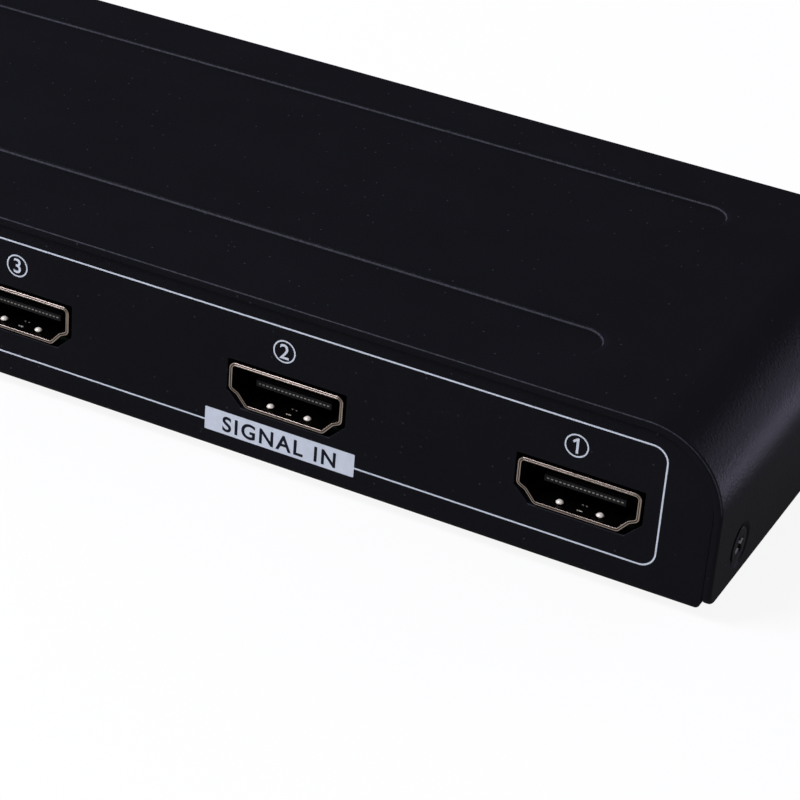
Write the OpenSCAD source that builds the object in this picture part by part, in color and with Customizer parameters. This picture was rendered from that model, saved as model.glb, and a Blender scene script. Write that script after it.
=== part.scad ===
// Video switch box: a bent steel cover over a bent steel tray that holds one circuit board.
// X runs along the socket panel, Y from the socket panel to the front panel, Z up from the surface.
// The origin is on the surface, under the middle of the case.

/* [Case] */
// Width over the cover's side walls
case_w = 184.6; // [178:0.2:230]
// Depth of the cover, from its socket edge to its front edge
case_d = 64; // [60:0.5:100]
// Height of the closed case without its feet
case_h = 22.3; // [21.4:0.1:32]
// How far the cover's side walls end above the tray's underside
wall_lift = 0.9; // [0:0.1:1.5]
// Sheet thickness of the cover
cover_t = 1; // [0.8:0.1:1.5]
// Sheet thickness of the tray
tray_t = 1; // [0.8:0.1:1.5]
// Outer radius of the cover's two long bends
cover_bend_r = 10; // [6:0.5:12]
// Inner radius of the bends between the tray's floor and its panels
tray_bend_r = 0.3; // [0.2:0.1:2]
// Clearance between the tray and the cover
case_gap = 0.25; // [0.15:0.05:0.5]
// How far the panels sit inside the cover's edges
panel_setback = 0.3; // [0.1:0.1:1.5]
// Radius of the lower corners of the panels
corner_r = 1.2; // [0.6:0.1:2]
// Radius of the lower corners of the cover's side walls
wall_corner_r = 2; // [0.6:0.1:4]

/* [Pressed grooves] */
// Width of a groove between the middles of its walls
groove_w = 7; // [5:0.5:12]
// Depth of a groove
groove_h = 0.5; // [0.3:0.1:0.8]
// Inner bend radius of a groove's walls
groove_bend_r = 0.3; // [0.2:0.1:0.6]
// Distance from the cover's edge to the nearer wall of a groove
groove_inset = 9.3; // [7:0.1:14]
// Distance from a side wall to the end of a groove
groove_end = 20.9; // [16:0.1:40]

/* [Feet] */
// Height of a rubber foot
foot_h = 1; // [0.9:0.1:6]
// Radius of a rubber foot
foot_r = 5; // [3:0.5:8]
// Chamfer round the lower edge of a rubber foot
foot_chamfer = 0.4; // [0.2:0.1:0.8]
// Distance from a side wall to the middle of a foot
foot_inset_x = 15; // [10:0.5:40]
// Distance from the cover's edge to the middle of a foot
foot_inset_y = 11; // [9:0.5:20]

/* [Side screws] */
// Radius of a side screw's shank
side_screw_r = 1.5; // [1.2:0.1:1.8]
// Radius of a side screw's countersunk head
side_head_r = 2.4; // [2.2:0.1:3]
// Length of a side screw
side_screw_l = 4; // [3:0.5:6]
// Depth of a side screw's head below the wall
side_screw_sink = 0.2; // [0:0.05:0.3]
// Distance from the cover's edge to a side screw
side_screw_inset = 8; // [7:0.1:14]
// Height of a side screw above the tray's underside
side_screw_z = 5.4; // [4:0.1:7]
// Width of the tray's tabs behind the side screws
tab_w = 10; // [7:0.5:12]
// Height of the tray's tabs above its underside
tab_h = 9.5; // [8:0.5:11]
// Radius of the tabs' upper corners
tab_corner_r = 2; // [1:0.5:3]
// Clearance of a screw in its hole
screw_gap = 0.05; // [0.02:0.01:0.1]
// Width of a cross recess's slots
recess_w = 0.7; // [0.5:0.1:1]
// Length of a cross recess's slots
recess_l = 2.8; // [2:0.1:3.2]
// Depth of a cross recess
recess_h = 0.8; // [0.5:0.1:1]

/* [Board] */
// Height of the standoffs
standoff_h = 4.7; // [4.1:0.1:5.6]
// Radius of the standoffs
standoff_r = 2.75; // [2.4:0.05:3.5]
// Radius of the standoffs' feet, pressed into the tray
standoff_foot_r = 2.2; // [1.9:0.1:2.3]
// Distance from the board's edge to the standoffs
standoff_inset = 6; // [5:0.5:9]
// Thickness of the board
board_t = 1.6; // [1.2:0.1:2]
// Clearance between the board and the case
board_gap = 0.8; // [0.5:0.1:1.2]
// Radius of a board screw's shank
board_screw_r = 1.5; // [1.2:0.1:1.6]
// Radius of a board screw's head
board_head_r = 2.8; // [2.6:0.1:3.4]
// Height of a board screw's head
board_head_h = 1.8; // [1.4:0.1:2.4]
// Length of a board screw below its head
board_screw_l = 5; // [4:0.5:5]
// Clearance of a pin or lead in the board
lead_gap = 0.1; // [0.05:0.05:0.15]
// How far leads and legs stand out under the board
lead_out = 0.8; // [0.5:0.1:1.5]

/* [Video sockets] */
// Distance from a side wall to the middle of the last place along the socket panel
socket_inset = 17.1; // [16:0.1:24]
// How far the sockets stand out of the panel
socket_out = 0.2; // [0:0.1:0.5]
// Inner width of a socket
mouth_w = 14.1; // [13.8:0.1:14.4]
// Inner height of a socket
mouth_h = 4.55; // [4.4:0.05:4.8]
// Inner height of a socket's straight sides
mouth_side_h = 2.7; // [2.5:0.1:3]
// Width of the step below a straight side
mouth_step_w = 0.9; // [0.6:0.1:1.2]
// Height of the step below a straight side
mouth_step_h = 0.45; // [0.3:0.05:0.6]
// Inner width of a socket's floor
mouth_floor_w = 9.9; // [9.6:0.1:10.4]
// Inner radius of a socket's corners
mouth_r = 0.35; // [0.2:0.05:0.5]
// Sheet thickness of a socket's shell
shell_t = 0.3; // [0.25:0.05:0.4]
// Depth of a socket's shell
shell_d = 11; // [10.5:0.5:13]
// How far the lip round the mouth stands out of the shell
lip_w = 0.25; // [0.05:0.05:0.3]
// Depth of the lip round the mouth
lip_d = 0.4; // [0.3:0.05:0.45]
// Gap between a socket and its cut-out in the panel
cutout_gap = 0.3; // [0.2:0.05:0.6]
// Chamfer of a cut-out's lower corners
cutout_chamfer = 1.95; // [1.4:0.05:2.1]
// Width of a spring finger
finger_w = 1.5; // [1.2:0.1:1.7]
// Length of a spring finger
finger_l = 5; // [4:0.5:5.5]
// Depth of a spring finger's tip behind the mouth
finger_tip = 0.65; // [0.65:0.05:1]
// Width of the slot round a spring finger
finger_slot = 0.2; // [0.15:0.05:0.25]
// Spacing of the two spring fingers in the floor
finger_pitch_low = 5; // [4:0.1:5.4]
// Spacing of the two spring fingers in the roof
finger_pitch_top = 8; // [6:0.1:8.6]
// Radius of the sphere of a spring finger's bump
bump_r = 0.6; // [0.5:0.05:1]
// Height of a spring finger's bump
bump_h = 0.25; // [0.2:0.05:0.4]
// Depth of a bump behind the mouth
bump_y = 1.25; // [1.25:0.05:2]
// Width of a shell's solder legs
leg_w = 1.6; // [1.2:0.1:2]
// Depth of the front solder legs behind the mouth
leg_front_y = 4.6; // [4.4:0.1:5]
// Depth of the rear solder legs behind the mouth
leg_rear_y = 9.4; // [8.4:0.1:9.6]

/* [Socket contacts] */
// Clearance of the insulator in its shell
insulator_gap = 0.04; // [0.02:0.01:0.08]
// Depth of the insulator's block at the back of the shell
block_d = 4; // [3:0.5:5]
// Width of the tongue
tongue_w = 10.1; // [9.8:0.1:11.6]
// Thickness of the tongue
tongue_t = 1.2; // [1:0.05:1.3]
// Thickness of the tongue's tip
tongue_tip_t = 0.8; // [0.6:0.05:0.9]
// Length of the taper at the tongue's tip
tongue_taper = 0.5; // [0.3:0.05:0.55]
// Depth of the tongue's tip behind the mouth
tongue_y = 2.2; // [1:0.1:2.6]
// Height of the tongue's middle above the socket's middle
tongue_rise = -0.3; // [-0.5:0.05:0.6]
// Number of contacts in a socket
contact_n = 19;
// Spacing of the contacts, which lie above and below the tongue in turn
contact_pitch = 0.51; // [0.45:0.01:0.52]
// Width of a contact
contact_w = 0.28; // [0.2:0.02:0.34]
// Thickness of a contact
contact_t = 0.15; // [0.1:0.01:0.2]
// Clearance of a contact in the insulator
contact_gap = 0.02; // [0.01:0.01:0.04]
// Depth of the turn at a contact's tip, behind the tongue's tip
contact_turn = 0.75; // [0.7:0.05:1]
// Length of a contact's solder foot
contact_foot = 1; // [0.6:0.1:1.5]

/* [Power inlet] */
// Width of the inlet's housing
inlet_w = 9; // [8.6:0.1:10]
// Height of the inlet's housing
inlet_h = 11; // [10.6:0.1:12]
// Depth of the inlet's housing behind its mouth
inlet_d = 14; // [13:0.5:15]
// Height of the inlet's axis above the board
inlet_axis_h = 6.5; // [6.2:0.1:7]
// Radius of the inlet's round nose
nose_r = 3.9; // [3.6:0.1:4.2]
// Clearance of the nose in the panel
nose_gap = 0.15; // [0.1:0.05:0.3]
// Clearance between the inlet's housing and the panel
inlet_gap = 0.2; // [0.1:0.1:0.5]
// Radius of the inlet's bore
inlet_bore_r = 3; // [2.8:0.05:3.2]
// Depth of the inlet's bore
inlet_bore_d = 10; // [9:0.5:11]
// Radius of the inlet's centre pin
inlet_pin_r = 1.05; // [0.8:0.05:1.25]
// Depth of the pin's tip behind the mouth
inlet_pin_y = 1.2; // [0.5:0.1:2]
// Length of the taper at the pin's tip
inlet_pin_taper = 0.5; // [0.3:0.1:0.8]
// Width of the inlet's terminals
terminal_w = 2; // [1.6:0.1:2.4]
// Thickness of the inlet's terminals
terminal_t = 0.5; // [0.3:0.05:0.6]
// Depth of the spring's front end behind the mouth
spring_front_y = 3; // [2.6:0.1:4]
// Depth of the spring's terminal behind the mouth
spring_back_y = 8.8; // [8:0.1:9.2]
// Rise of the spring from its ends to its crest
spring_rise = 0.5; // [0.3:0.05:0.6]
// How far the spring's crest reaches into the bore
spring_reach = 0.2; // [0.1:0.05:0.3]
// Clearance round the spring in its channel
spring_gap = 0.25; // [0.15:0.05:0.4]

/* [Front panel controls] */
// Place of the select button along the front panel
button_x = -56.4; // [-64:0.2:-48]
// Radius of the select button
button_r = 3.5; // [3:0.1:4]
// How far the select button stands out of the panel
button_out = 1.4; // [1:0.1:3]
// Rounding of the select button's rim
button_round = 0.5; // [0.3:0.1:0.6]
// Clearance of the select button in the panel
button_gap = 0.3; // [0.2:0.05:0.4]
// Width of the select button's flange
button_flange_w = 0.6; // [0.4:0.1:1.2]
// Thickness of the select button's flange
button_flange_t = 0.8; // [0.6:0.1:1]
// Travel of the select button
button_travel = 0.5; // [0.3:0.05:0.6]
// Width of the tactile switch's body
switch_w = 6.2; // [6:0.1:7]
// Depth of the tactile switch's body
switch_d = 4.2; // [4.2:0.1:5]
// Wall thickness of the tactile switch's body
switch_wall = 0.8; // [0.6:0.05:0.8]
// Radius of the tactile switch's stem
stem_r = 1.7; // [1.4:0.05:1.8]
// Running clearance of the stem
stem_gap = 0.08; // [0.05:0.01:0.1]
// Width of the collar that keeps the stem in its body
collar_w = 0.6; // [0.4:0.05:0.6]
// Thickness of the stem's collar
collar_t = 0.5; // [0.4:0.05:0.6]
// Radius of the nub that meets the snap dome
nub_r = 0.8; // [0.6:0.1:1]
// Clearance of the stem in the button
stem_fit = 0.02; // [0.01:0.01:0.04]
// Height of the snap dome
dome_h = 0.5; // [0.4:0.05:0.6]
// Sheet thickness of the snap dome
dome_t = 0.12; // [0.08:0.02:0.16]
// Spacing of the lamps for the inputs
lamp_pitch = 11; // [8:0.5:14]
// Place of the power lamp along the front panel
power_lamp_x = 37.6; // [30:0.2:44]
// Radius of a lamp's lens
lamp_r = 1.5; // [1.2:0.05:2]
// Length of a lamp from its rear face to its tip
lamp_l = 5.2; // [5:0.1:6]
// How far a lamp stands out of the panel
lamp_out = 1; // [0.6:0.1:1.4]
// Width of a lamp's rear flange
lamp_flange_w = 0.4; // [0.2:0.05:0.5]
// Thickness of a lamp's rear flange
lamp_flange_t = 1; // [0.8:0.1:1.4]
// Clearance of a lamp in the panel
lamp_gap = 0.1; // [0.05:0.05:0.2]
// Spacing of a lamp's two leads
lamp_lead_pitch = 2.54; // [2:0.02:2.6]
// Distance from a lamp's rear face to the bend of its leads
lamp_lead_run = 2.5; // [1.5:0.1:4]
// Thickness of the leads of lamps and receiver
lead_t = 0.5; // [0.4:0.05:0.6]
// Place of the remote-control window along the front panel
window_x = 56.4; // [50:0.2:62]
// Radius of the remote-control window
window_r = 2.8; // [2.4:0.1:3.2]
// How far the window stands out of the panel
window_out = 0.3; // [0.1:0.1:0.6]
// Width of the window's inner flange
window_flange_w = 0.8; // [0.5:0.1:1]
// Thickness of the window's inner flange
window_flange_t = 0.6; // [0.5:0.1:0.8]
// Width of the remote-control receiver
receiver_w = 6; // [5.6:0.1:7]
// Depth of the receiver's body
receiver_d = 3; // [2.6:0.1:4]
// Height of the receiver's body
receiver_h = 7; // [6.9:0.1:8]
// Radius of the receiver's lens
receiver_lens_r = 2.2; // [1.8:0.1:2.4]
// Gap from the receiver's lens to the window
receiver_gap = 0.5; // [0.3:0.1:0.8]
// Height of the receiver above the board
receiver_seat = 0.3; // [0.2:0.05:0.5]
// Spacing of the receiver's three leads
receiver_lead_pitch = 2.54; // [2:0.02:2.6]

/* [Board parts] */
// Width of the switching chip
chip_w = 14; // [10:0.5:16]
// Height of the switching chip
chip_h = 1.4; // [1:0.1:1.8]
// Leads on each side of the switching chip
chip_leads = 16; // [8:2:18]
// Spacing of the switching chip's leads
chip_pitch = 0.8; // [0.6:0.05:0.8]
// Length of the control chip
control_l = 10; // [10:0.1:12]
// Width of the control chip
control_w = 4; // [3.6:0.1:5]
// Leads on each side of the control chip
control_leads = 8; // [4:1:8]
// Spacing of the control chip's leads
control_pitch = 1.27; // [1:0.01:1.3]
// Width of a chip's leads
chip_lead_w = 0.36; // [0.24:0.02:0.4]
// Thickness of a chip's leads
chip_lead_t = 0.18; // [0.12:0.02:0.24]
// How far a chip's leads reach out
chip_lead_l = 1; // [0.8:0.1:1.5]
// Draft of a chip's sides, from its leads to its top and underside
chip_draft = 0.15; // [0.05:0.05:0.25]
// Radius of the dot beside a chip's first lead
chip_dot_r = 0.4; // [0.3:0.05:0.5]
// Depth of the dot
chip_dot_h = 0.1; // [0.05:0.05:0.2]
// Distance from a chip's sides to the middle of its dot
chip_dot_inset = 1.1; // [0.9:0.1:1.4]
// Width of the power coil
coil_w = 7; // [6:0.5:8]
// Height of the power coil
coil_h = 4; // [3:0.5:6]
// Radius of the power coil's corners
coil_corner_r = 1.5; // [1:0.1:2]
// Radius of a filter capacitor's can
can_r = 3.15; // [2.5:0.05:4]
// Height of a filter capacitor's can
can_h = 7.2; // [5:0.1:9]
// Rounding of the upper edge of a filter capacitor's can
can_round = 0.5; // [0.2:0.1:0.8]
// Height of the crimp round a filter capacitor's can, above its base
can_crimp_z = 1.3; // [1:0.1:1.8]
// Width of the crimp
can_crimp_w = 0.8; // [0.5:0.1:1]
// Depth of the crimp
can_crimp_d = 0.3; // [0.1:0.05:0.4]
// Thickness of a filter capacitor's base
can_base_h = 0.8; // [0.6:0.1:1.2]
// Chamfer of the two cut corners of a filter capacitor's base
can_base_cut = 1.3; // [0.8:0.1:1.6]
// Spacing of the two filter capacitors
can_pitch = 10; // [9:0.5:12]
// Length of the crystal's can
crystal_l = 11; // [9:0.5:13]
// Width of the crystal's can
crystal_w = 4.6; // [4:0.1:5]
// Height of the crystal's can
crystal_h = 3.6; // [3:0.1:5]
// Width of the crystal's lower rim
crystal_rim_w = 0.4; // [0.3:0.05:0.6]
// Thickness of the crystal's lower rim
crystal_rim_h = 0.5; // [0.4:0.1:0.8]

/* [Hidden] */
$fn = 48;
arc_steps = 6;
mouth_fn = 16;
over = 1;

cover_low = foot_h + wall_lift;
cover_h = case_h - wall_lift;
tray_w = case_w - 2 * (cover_t + case_gap);
tray_d = case_d - 2 * panel_setback;
tray_h = case_h - cover_t - case_gap;
tray_corner_r = cover_bend_r - cover_t - case_gap;
floor_top = foot_h + tray_t;
board_low = floor_top + standoff_h;
board_top = board_low + board_t;
rear_y = -tray_d / 2;
front_y = tray_d / 2;
front_in = front_y - tray_t;
board_half_d = front_in - board_gap;
board_half_w = case_w / 2 - side_screw_sink - side_screw_l - board_gap;
lead_low = board_low - lead_out;

groove_sum_r = 2 * groove_bend_r + cover_t;
groove_angle = acos(1 - groove_h / groove_sum_r);
groove_run = groove_sum_r * sin(groove_angle);
groove_floor_r = (groove_w - groove_run) / 2;
groove_edge_r = (groove_w + groove_run) / 2;
groove_half_l = case_w / 2 - groove_end - groove_w / 2;
groove_y = case_d / 2 - groove_inset - groove_w / 2;

sockets = ["input_1", "input_2", "input_3", "output"];
socket_n = len(sockets);
socket_pitch = (case_w - 2 * socket_inset) / socket_n;
socket_seat = 0.05;
mouth_y = rear_y - socket_out;
socket_z = board_top + socket_seat + shell_t + mouth_h / 2;
mouth_side_z = mouth_h / 2 - mouth_side_h;
socket_board_z = board_top - socket_z;
rim_w = shell_t + lip_w;
mouth_half = [
    [mouth_w / 2, mouth_h / 2],
    [mouth_w / 2, mouth_side_z],
    [mouth_w / 2 - mouth_step_w, mouth_side_z - mouth_step_h],
    [mouth_floor_w / 2, -mouth_h / 2]
];
contact_back = shell_d + contact_t;

inlet_z = board_top + inlet_axis_h;
inlet_front = socket_out + tray_t + inlet_gap;
spring_low = -inlet_bore_r + spring_reach - spring_rise - terminal_t;

control_h = button_r + button_flange_w + button_gap;
control_z = board_top + control_h;
flange_y = front_in - button_gap - button_flange_t;
switch_y = flange_y - button_travel - button_gap;
cavity_y = switch_y - switch_wall;
cavity_back = switch_y - switch_d + switch_wall;
cavity_r = stem_r + collar_w + stem_gap;
switch_h = control_h + cavity_r + switch_wall;
collar_y = cavity_y - stem_gap - collar_t;
dome_r = cavity_r - stem_gap;
dome_sphere_r = (dome_r * dome_r + dome_h * dome_h) / (2 * dome_h);
nub_y = cavity_back + dome_h + button_travel + stem_gap;
stem_tip = front_y;
lamp_back = front_y + lamp_out - lamp_l;
lamp_places = concat([power_lamp_x], [for (i = [1, 0, -1]) i * lamp_pitch]);
receiver_front = front_in - window_flange_t - receiver_gap - receiver_lens_r;
receiver_mid_y = receiver_front - receiver_d / 2;
switch_pin_y = switch_y - switch_d / 2;
switch_pin_x = switch_w / 2 - lead_t;

switching_chip_at = [18, 0];
control_chip_at = [-18, 10];
regulator_at = [-56, -2];
regulator_size = [6.5, 3.5, 1.6];
regulator_pitch = 2.3;
regulator_tab_w = 3;
coil_at = [-42, -2];
can_shift = 1.2;
cans_at = [slot_x(socket_n) + can_shift, 4];
crystal_at = [-18, -2];

black_steel = "#1b1c20";
black_plastic = "#16171a";
bronze = "#a58c79";
gold = "#c9a860";
tin = "#b9bcc0";

// Places along the socket panel, from the first input to the power inlet
function slot_x(i) = case_w / 2 - socket_inset - i * socket_pitch;

function arc(centre, r, from, to) =
    [for (i = [0:arc_steps]) let (a = from + (to - from) * i / arc_steps) centre + r * [cos(a), sin(a)]];

function mirrored(points) = [for (i = [len(points) - 1:-1:0]) [-points[i][0], points[i][1]]];

// Outline in X and Z, extruded from y0 to y1
module along_y(y0, y1) {
    translate([0, y1, 0])
        rotate([90, 0, 0])
            linear_extrude(y1 - y0)
                children();
}

// Outline in Y and Z, extruded from x0 to x1
module along_x(x0, x1) {
    translate([x0, 0, 0])
        rotate([90, 0, 90])
            linear_extrude(x1 - x0)
                children();
}

// Half outline of radius and Y, turned round an axis along Y
module round_y() {
    rotate([-90, 0, 0])
        rotate_extrude()
            children();
}

// Plate that stands on z = 0, with round lower and upper corners
module plate(w, h, r_low, r_top) {
    translate([-w / 2, r_low])
        square([w, h - r_low - r_top]);
    for (side = [-1, 1]) {
        if (r_low > 0)
            translate([side * (w / 2 - r_low), r_low])
                circle(r_low);
        if (r_top > 0)
            translate([side * (w / 2 - r_top), h - r_top])
                circle(r_top);
    }
    translate([-w / 2 + r_low, 0])
        square([w - 2 * r_low, h / 2]);
    translate([-w / 2 + r_top, h / 2])
        square([w - 2 * r_top, h / 2]);
}

// Strip of sheet with square bends, seen from its edge
module strip(path, t) {
    for (i = [1:len(path) - 1]) {
        a = path[i - 1];
        b = path[i];
        translate([min(a[0], b[0]) - t / 2, min(a[1], b[1]) - t / 2])
            square([abs(a[0] - b[0]) + t, abs(a[1] - b[1]) + t]);
    }
}

// Half section of a pressed groove's upper face, with the space above it
module groove_space() {
    polygon(concat(
        [[0, over], [0, -groove_h]],
        arc([groove_floor_r, groove_bend_r - groove_h], groove_bend_r, -90, groove_angle - 90),
        arc([groove_edge_r, -groove_bend_r - cover_t], groove_bend_r + cover_t, groove_angle + 90, 90),
        [[groove_edge_r, over]]
    ));
}

// Half section of the sheet that a groove pushes down
module groove_sheet() {
    polygon(concat(
        [[0, -cover_t / 2], [0, -groove_h - cover_t]],
        arc([groove_floor_r, groove_bend_r - groove_h], groove_bend_r + cover_t, -90, groove_angle - 90),
        arc([groove_edge_r, -groove_bend_r - cover_t], groove_bend_r, groove_angle + 90, 90),
        [[groove_edge_r, -cover_t / 2]]
    ));
}

// Half section carried along both grooves and round their ends
module grooves() {
    for (side = [-1, 1])
        translate([0, side * groove_y, foot_h + case_h]) {
            for (turn = [0, 180]) {
                rotate(turn)
                    along_x(-groove_half_l, groove_half_l)
                        children();
                rotate(turn)
                    translate([groove_half_l, 0, 0])
                        rotate(-90)
                            rotate_extrude(angle = 180)
                                children();
            }
        }
}

// Countersunk screw pointing down from its head's face, or the hole that takes it
module countersunk(gap, above) {
    head_h = side_head_r - side_screw_r;
    translate([0, 0, -head_h])
        cylinder(h = head_h + above, r1 = side_screw_r + gap, r2 = side_head_r + gap + above);
    translate([0, 0, -side_screw_l])
        cylinder(h = side_screw_l, r = side_screw_r + gap);
}

module cross_recess() {
    for (turn = [0, 90])
        rotate(turn)
            translate([-recess_l / 2, -recess_w / 2, -recess_h])
                cube([recess_l, recess_w, recess_h + over]);
}

module side_screw_places() {
    for (side = [-1, 1], end = [-1, 1])
        translate([
            side * (case_w / 2 - side_screw_sink),
            end * (case_d / 2 - side_screw_inset),
            foot_h + side_screw_z
        ])
            rotate([0, side * 90, 0])
                children();
}

module board_screw_places() {
    for (side = [-1, 1]) {
        translate([side * slot_x(1 / 2), standoff_inset - board_half_d, 0])
            children();
        translate([side * slot_x(0), board_half_d - standoff_inset, 0])
            children();
    }
}

module top_cover() {
    color(black_steel)
        difference() {
            union() {
                intersection() {
                    translate([0, 0, cover_low])
                        along_y(-case_d / 2, case_d / 2)
                            difference() {
                                plate(case_w, cover_h, 0, cover_bend_r);
                                translate([0, -over])
                                    plate(case_w - 2 * cover_t, cover_h - cover_t + over, 0,
                                          cover_bend_r - cover_t);
                            }
                    translate([0, 0, cover_low])
                        along_x(-case_w / 2 - over, case_w / 2 + over)
                            plate(case_d, cover_h + over, wall_corner_r, 0);
                }
                grooves()
                    groove_sheet();
            }
            grooves()
                groove_space();
            side_screw_places()
                countersunk(screw_gap, side_screw_sink + screw_gap);
        }
}

module bottom_tray() {
    color(black_steel)
        difference() {
            union() {
                translate([0, 0, foot_h])
                    intersection() {
                        along_x(-tray_w / 2, tray_w / 2)
                            difference() {
                                plate(tray_d, tray_h, tray_bend_r + tray_t, 0);
                                translate([0, tray_t])
                                    plate(tray_d - 2 * tray_t, tray_h, tray_bend_r, 0);
                            }
                        along_y(-tray_d / 2 - over, tray_d / 2 + over)
                            plate(tray_w, tray_h, corner_r, tray_corner_r);
                    }
                for (side = [-1, 1], end = [-1, 1])
                    translate([
                        side * (tray_w - tray_t) / 2,
                        end * (case_d / 2 - side_screw_inset),
                        foot_h + tray_t
                    ])
                        along_x(-tray_t / 2, tray_t / 2)
                            plate(tab_w, tab_h - tray_t, 0, tab_corner_r);
            }
            side_screw_places()
                countersunk(screw_gap, side_screw_sink);
            board_screw_places()
                translate([0, 0, foot_h - over])
                    cylinder(h = tray_t + 2 * over, r = standoff_foot_r);
            rear_cutouts();
            front_cutouts();
        }
}

// Openings of the socket panel
module rear_cutouts() {
    cut_w = mouth_w / 2 + rim_w + cutout_gap;
    cut_h = mouth_h / 2 + rim_w + cutout_gap;
    half = [[cut_w, cut_h], [cut_w, cutout_chamfer - cut_h], [cut_w - cutout_chamfer, -cut_h]];
    for (i = [0:socket_n - 1])
        translate([slot_x(i), 0, socket_z])
            along_y(rear_y - over, rear_y + tray_t + over)
                polygon(concat(half, mirrored(half)));
    translate([slot_x(socket_n), 0, inlet_z])
        along_y(rear_y - over, rear_y + tray_t + over)
            circle(nose_r + nose_gap);
}

// Openings of the front panel
module front_cutouts() {
    translate([0, 0, control_z])
        along_y(front_in - over, front_y + over) {
            translate([button_x, 0])
                circle(button_r + button_gap);
            translate([window_x, 0])
                circle(window_r + lamp_gap);
            for (x = lamp_places)
                translate([x, 0])
                    circle(lamp_r + lamp_gap);
        }
}

module side_screws() {
    color("#26272b")
        side_screw_places()
            difference() {
                countersunk(0, 0);
                cross_recess();
            }
}

module rubber_feet() {
    color("#2a2a2c")
        for (side = [-1, 1], end = [-1, 1])
            translate([side * (case_w / 2 - foot_inset_x), end * (case_d / 2 - foot_inset_y), 0])
                rotate_extrude()
                    polygon([[0, 0], [foot_r - foot_chamfer, 0], [foot_r, foot_chamfer], [foot_r, foot_h],
                             [0, foot_h]]);
}

module board_standoffs() {
    color(tin)
        board_screw_places()
            difference() {
                union() {
                    translate([0, 0, floor_top])
                        cylinder(h = standoff_h, r = standoff_r);
                    translate([0, 0, foot_h])
                        cylinder(h = tray_t, r = standoff_foot_r);
                }
                translate([0, 0, foot_h - over])
                    cylinder(h = tray_t + standoff_h + 2 * over, r = board_screw_r + screw_gap);
            }
}

module board_screws() {
    color(tin)
        board_screw_places()
            translate([0, 0, board_top])
                difference() {
                    rotate_extrude()
                        polygon([[0, -board_screw_l], [board_screw_r, -board_screw_l], [board_screw_r, 0],
                                 [board_head_r, 0], [board_head_r, board_head_h / 2],
                                 [board_head_r - board_head_h / 3, board_head_h], [0, board_head_h]]);
                    translate([0, 0, board_head_h])
                        cross_recess();
                }
}

module circuit_board() {
    color("#1f4a36")
        difference() {
            translate([-board_half_w, -board_half_d, board_low])
                cube([2 * board_half_w, 2 * board_half_d, board_t]);
            board_screw_places()
                translate([0, 0, board_low - over])
                    cylinder(h = board_t + 2 * over, r = board_screw_r + lead_gap);
            for (i = [0:socket_n - 1])
                translate([slot_x(i), mouth_y, socket_z])
                    shell_legs(lead_gap);
            translate([slot_x(socket_n), mouth_y, inlet_z])
                inlet_terminals(lead_gap);
            lamp_lead_places()
                board_hole(lead_t);
            receiver_lead_places()
                board_hole(lead_t);
            switch_pin_places()
                board_hole(lead_t);
        }
}

// Square hole through the board for a lead
module board_hole(t) {
    w = t + 2 * lead_gap;
    translate([-w / 2, -w / 2, board_low - over])
        cube([w, w, board_t + 2 * over]);
}

// Inner outline of a socket, grown evenly
module mouth(grow) {
    offset(r = mouth_r + grow, $fn = mouth_fn)
        offset(delta = -mouth_r)
            polygon(concat(mouth_half, mirrored(mouth_half)));
}

// Solder legs of a shell, which carry its sides down through the board
module shell_legs(gap) {
    for (side = [-1, 1], y = [leg_front_y, leg_rear_y])
        translate([
            side * (mouth_w + shell_t) / 2 - shell_t / 2 - gap,
            y - leg_w / 2 - gap,
            lead_low - socket_z - gap
        ])
            cube([shell_t + 2 * gap, leg_w + 2 * gap, mouth_side_z + mouth_r + socket_z - lead_low + gap]);
}

// Slot round a spring finger, open to the wall above or below it
module finger_slot_cut() {
    w = finger_w + 2 * finger_slot;
    difference() {
        translate([-w / 2, finger_tip - finger_slot, -over / 2])
            cube([w, finger_l + finger_slot, over]);
        translate([-finger_w / 2, finger_tip, -over])
            cube([finger_w, finger_l + over, 2 * over]);
    }
}

// Round bump that stands on a spring finger
module finger_bump() {
    intersection() {
        translate([0, bump_y, bump_h - bump_r])
            sphere(bump_r);
        translate([-bump_r, bump_y - bump_r, -shell_t / 2])
            cube([2 * bump_r, 2 * bump_r, bump_h + shell_t]);
    }
}

module socket_shell() {
    color(bronze) {
        difference() {
            union() {
                along_y(0, shell_d)
                    mouth(shell_t);
                along_y(0, lip_d)
                    mouth(rim_w);
            }
            along_y(-over, shell_d + over)
                mouth(0);
            for (side = [-1, 1]) {
                translate([side * finger_pitch_low / 2, 0, -mouth_h / 2])
                    finger_slot_cut();
                translate([side * finger_pitch_top / 2, 0, mouth_h / 2])
                    finger_slot_cut();
            }
        }
        for (side = [-1, 1]) {
            translate([side * finger_pitch_low / 2, 0, -mouth_h / 2])
                finger_bump();
            translate([side * finger_pitch_top / 2, 0, mouth_h / 2])
                mirror([0, 0, 1])
                    finger_bump();
        }
        shell_legs(0);
    }
}

// Route of a contact from the tongue's tip to its solder foot, above (1) or below (-1) the tongue
function contact_path(row) =
    let (
        tip = tongue_y + contact_t / 2,
        turn = tongue_y + contact_turn,
        run_z = tongue_rise + row * (tongue_t - contact_t) / 2,
        foot_z = socket_board_z + contact_t / 2
    )
    [[tip, tongue_rise], [turn, tongue_rise], [turn, run_z], [contact_back, run_z],
     [contact_back, foot_z], [contact_back + contact_foot, foot_z]];

module contact_set(gap) {
    for (i = [0:contact_n - 1])
        translate([(i - (contact_n - 1) / 2) * contact_pitch, 0, 0])
            along_x(-contact_w / 2 - gap, contact_w / 2 + gap)
                strip(contact_path(i % 2 == 0 ? 1 : -1), contact_t + 2 * gap);
}

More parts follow.
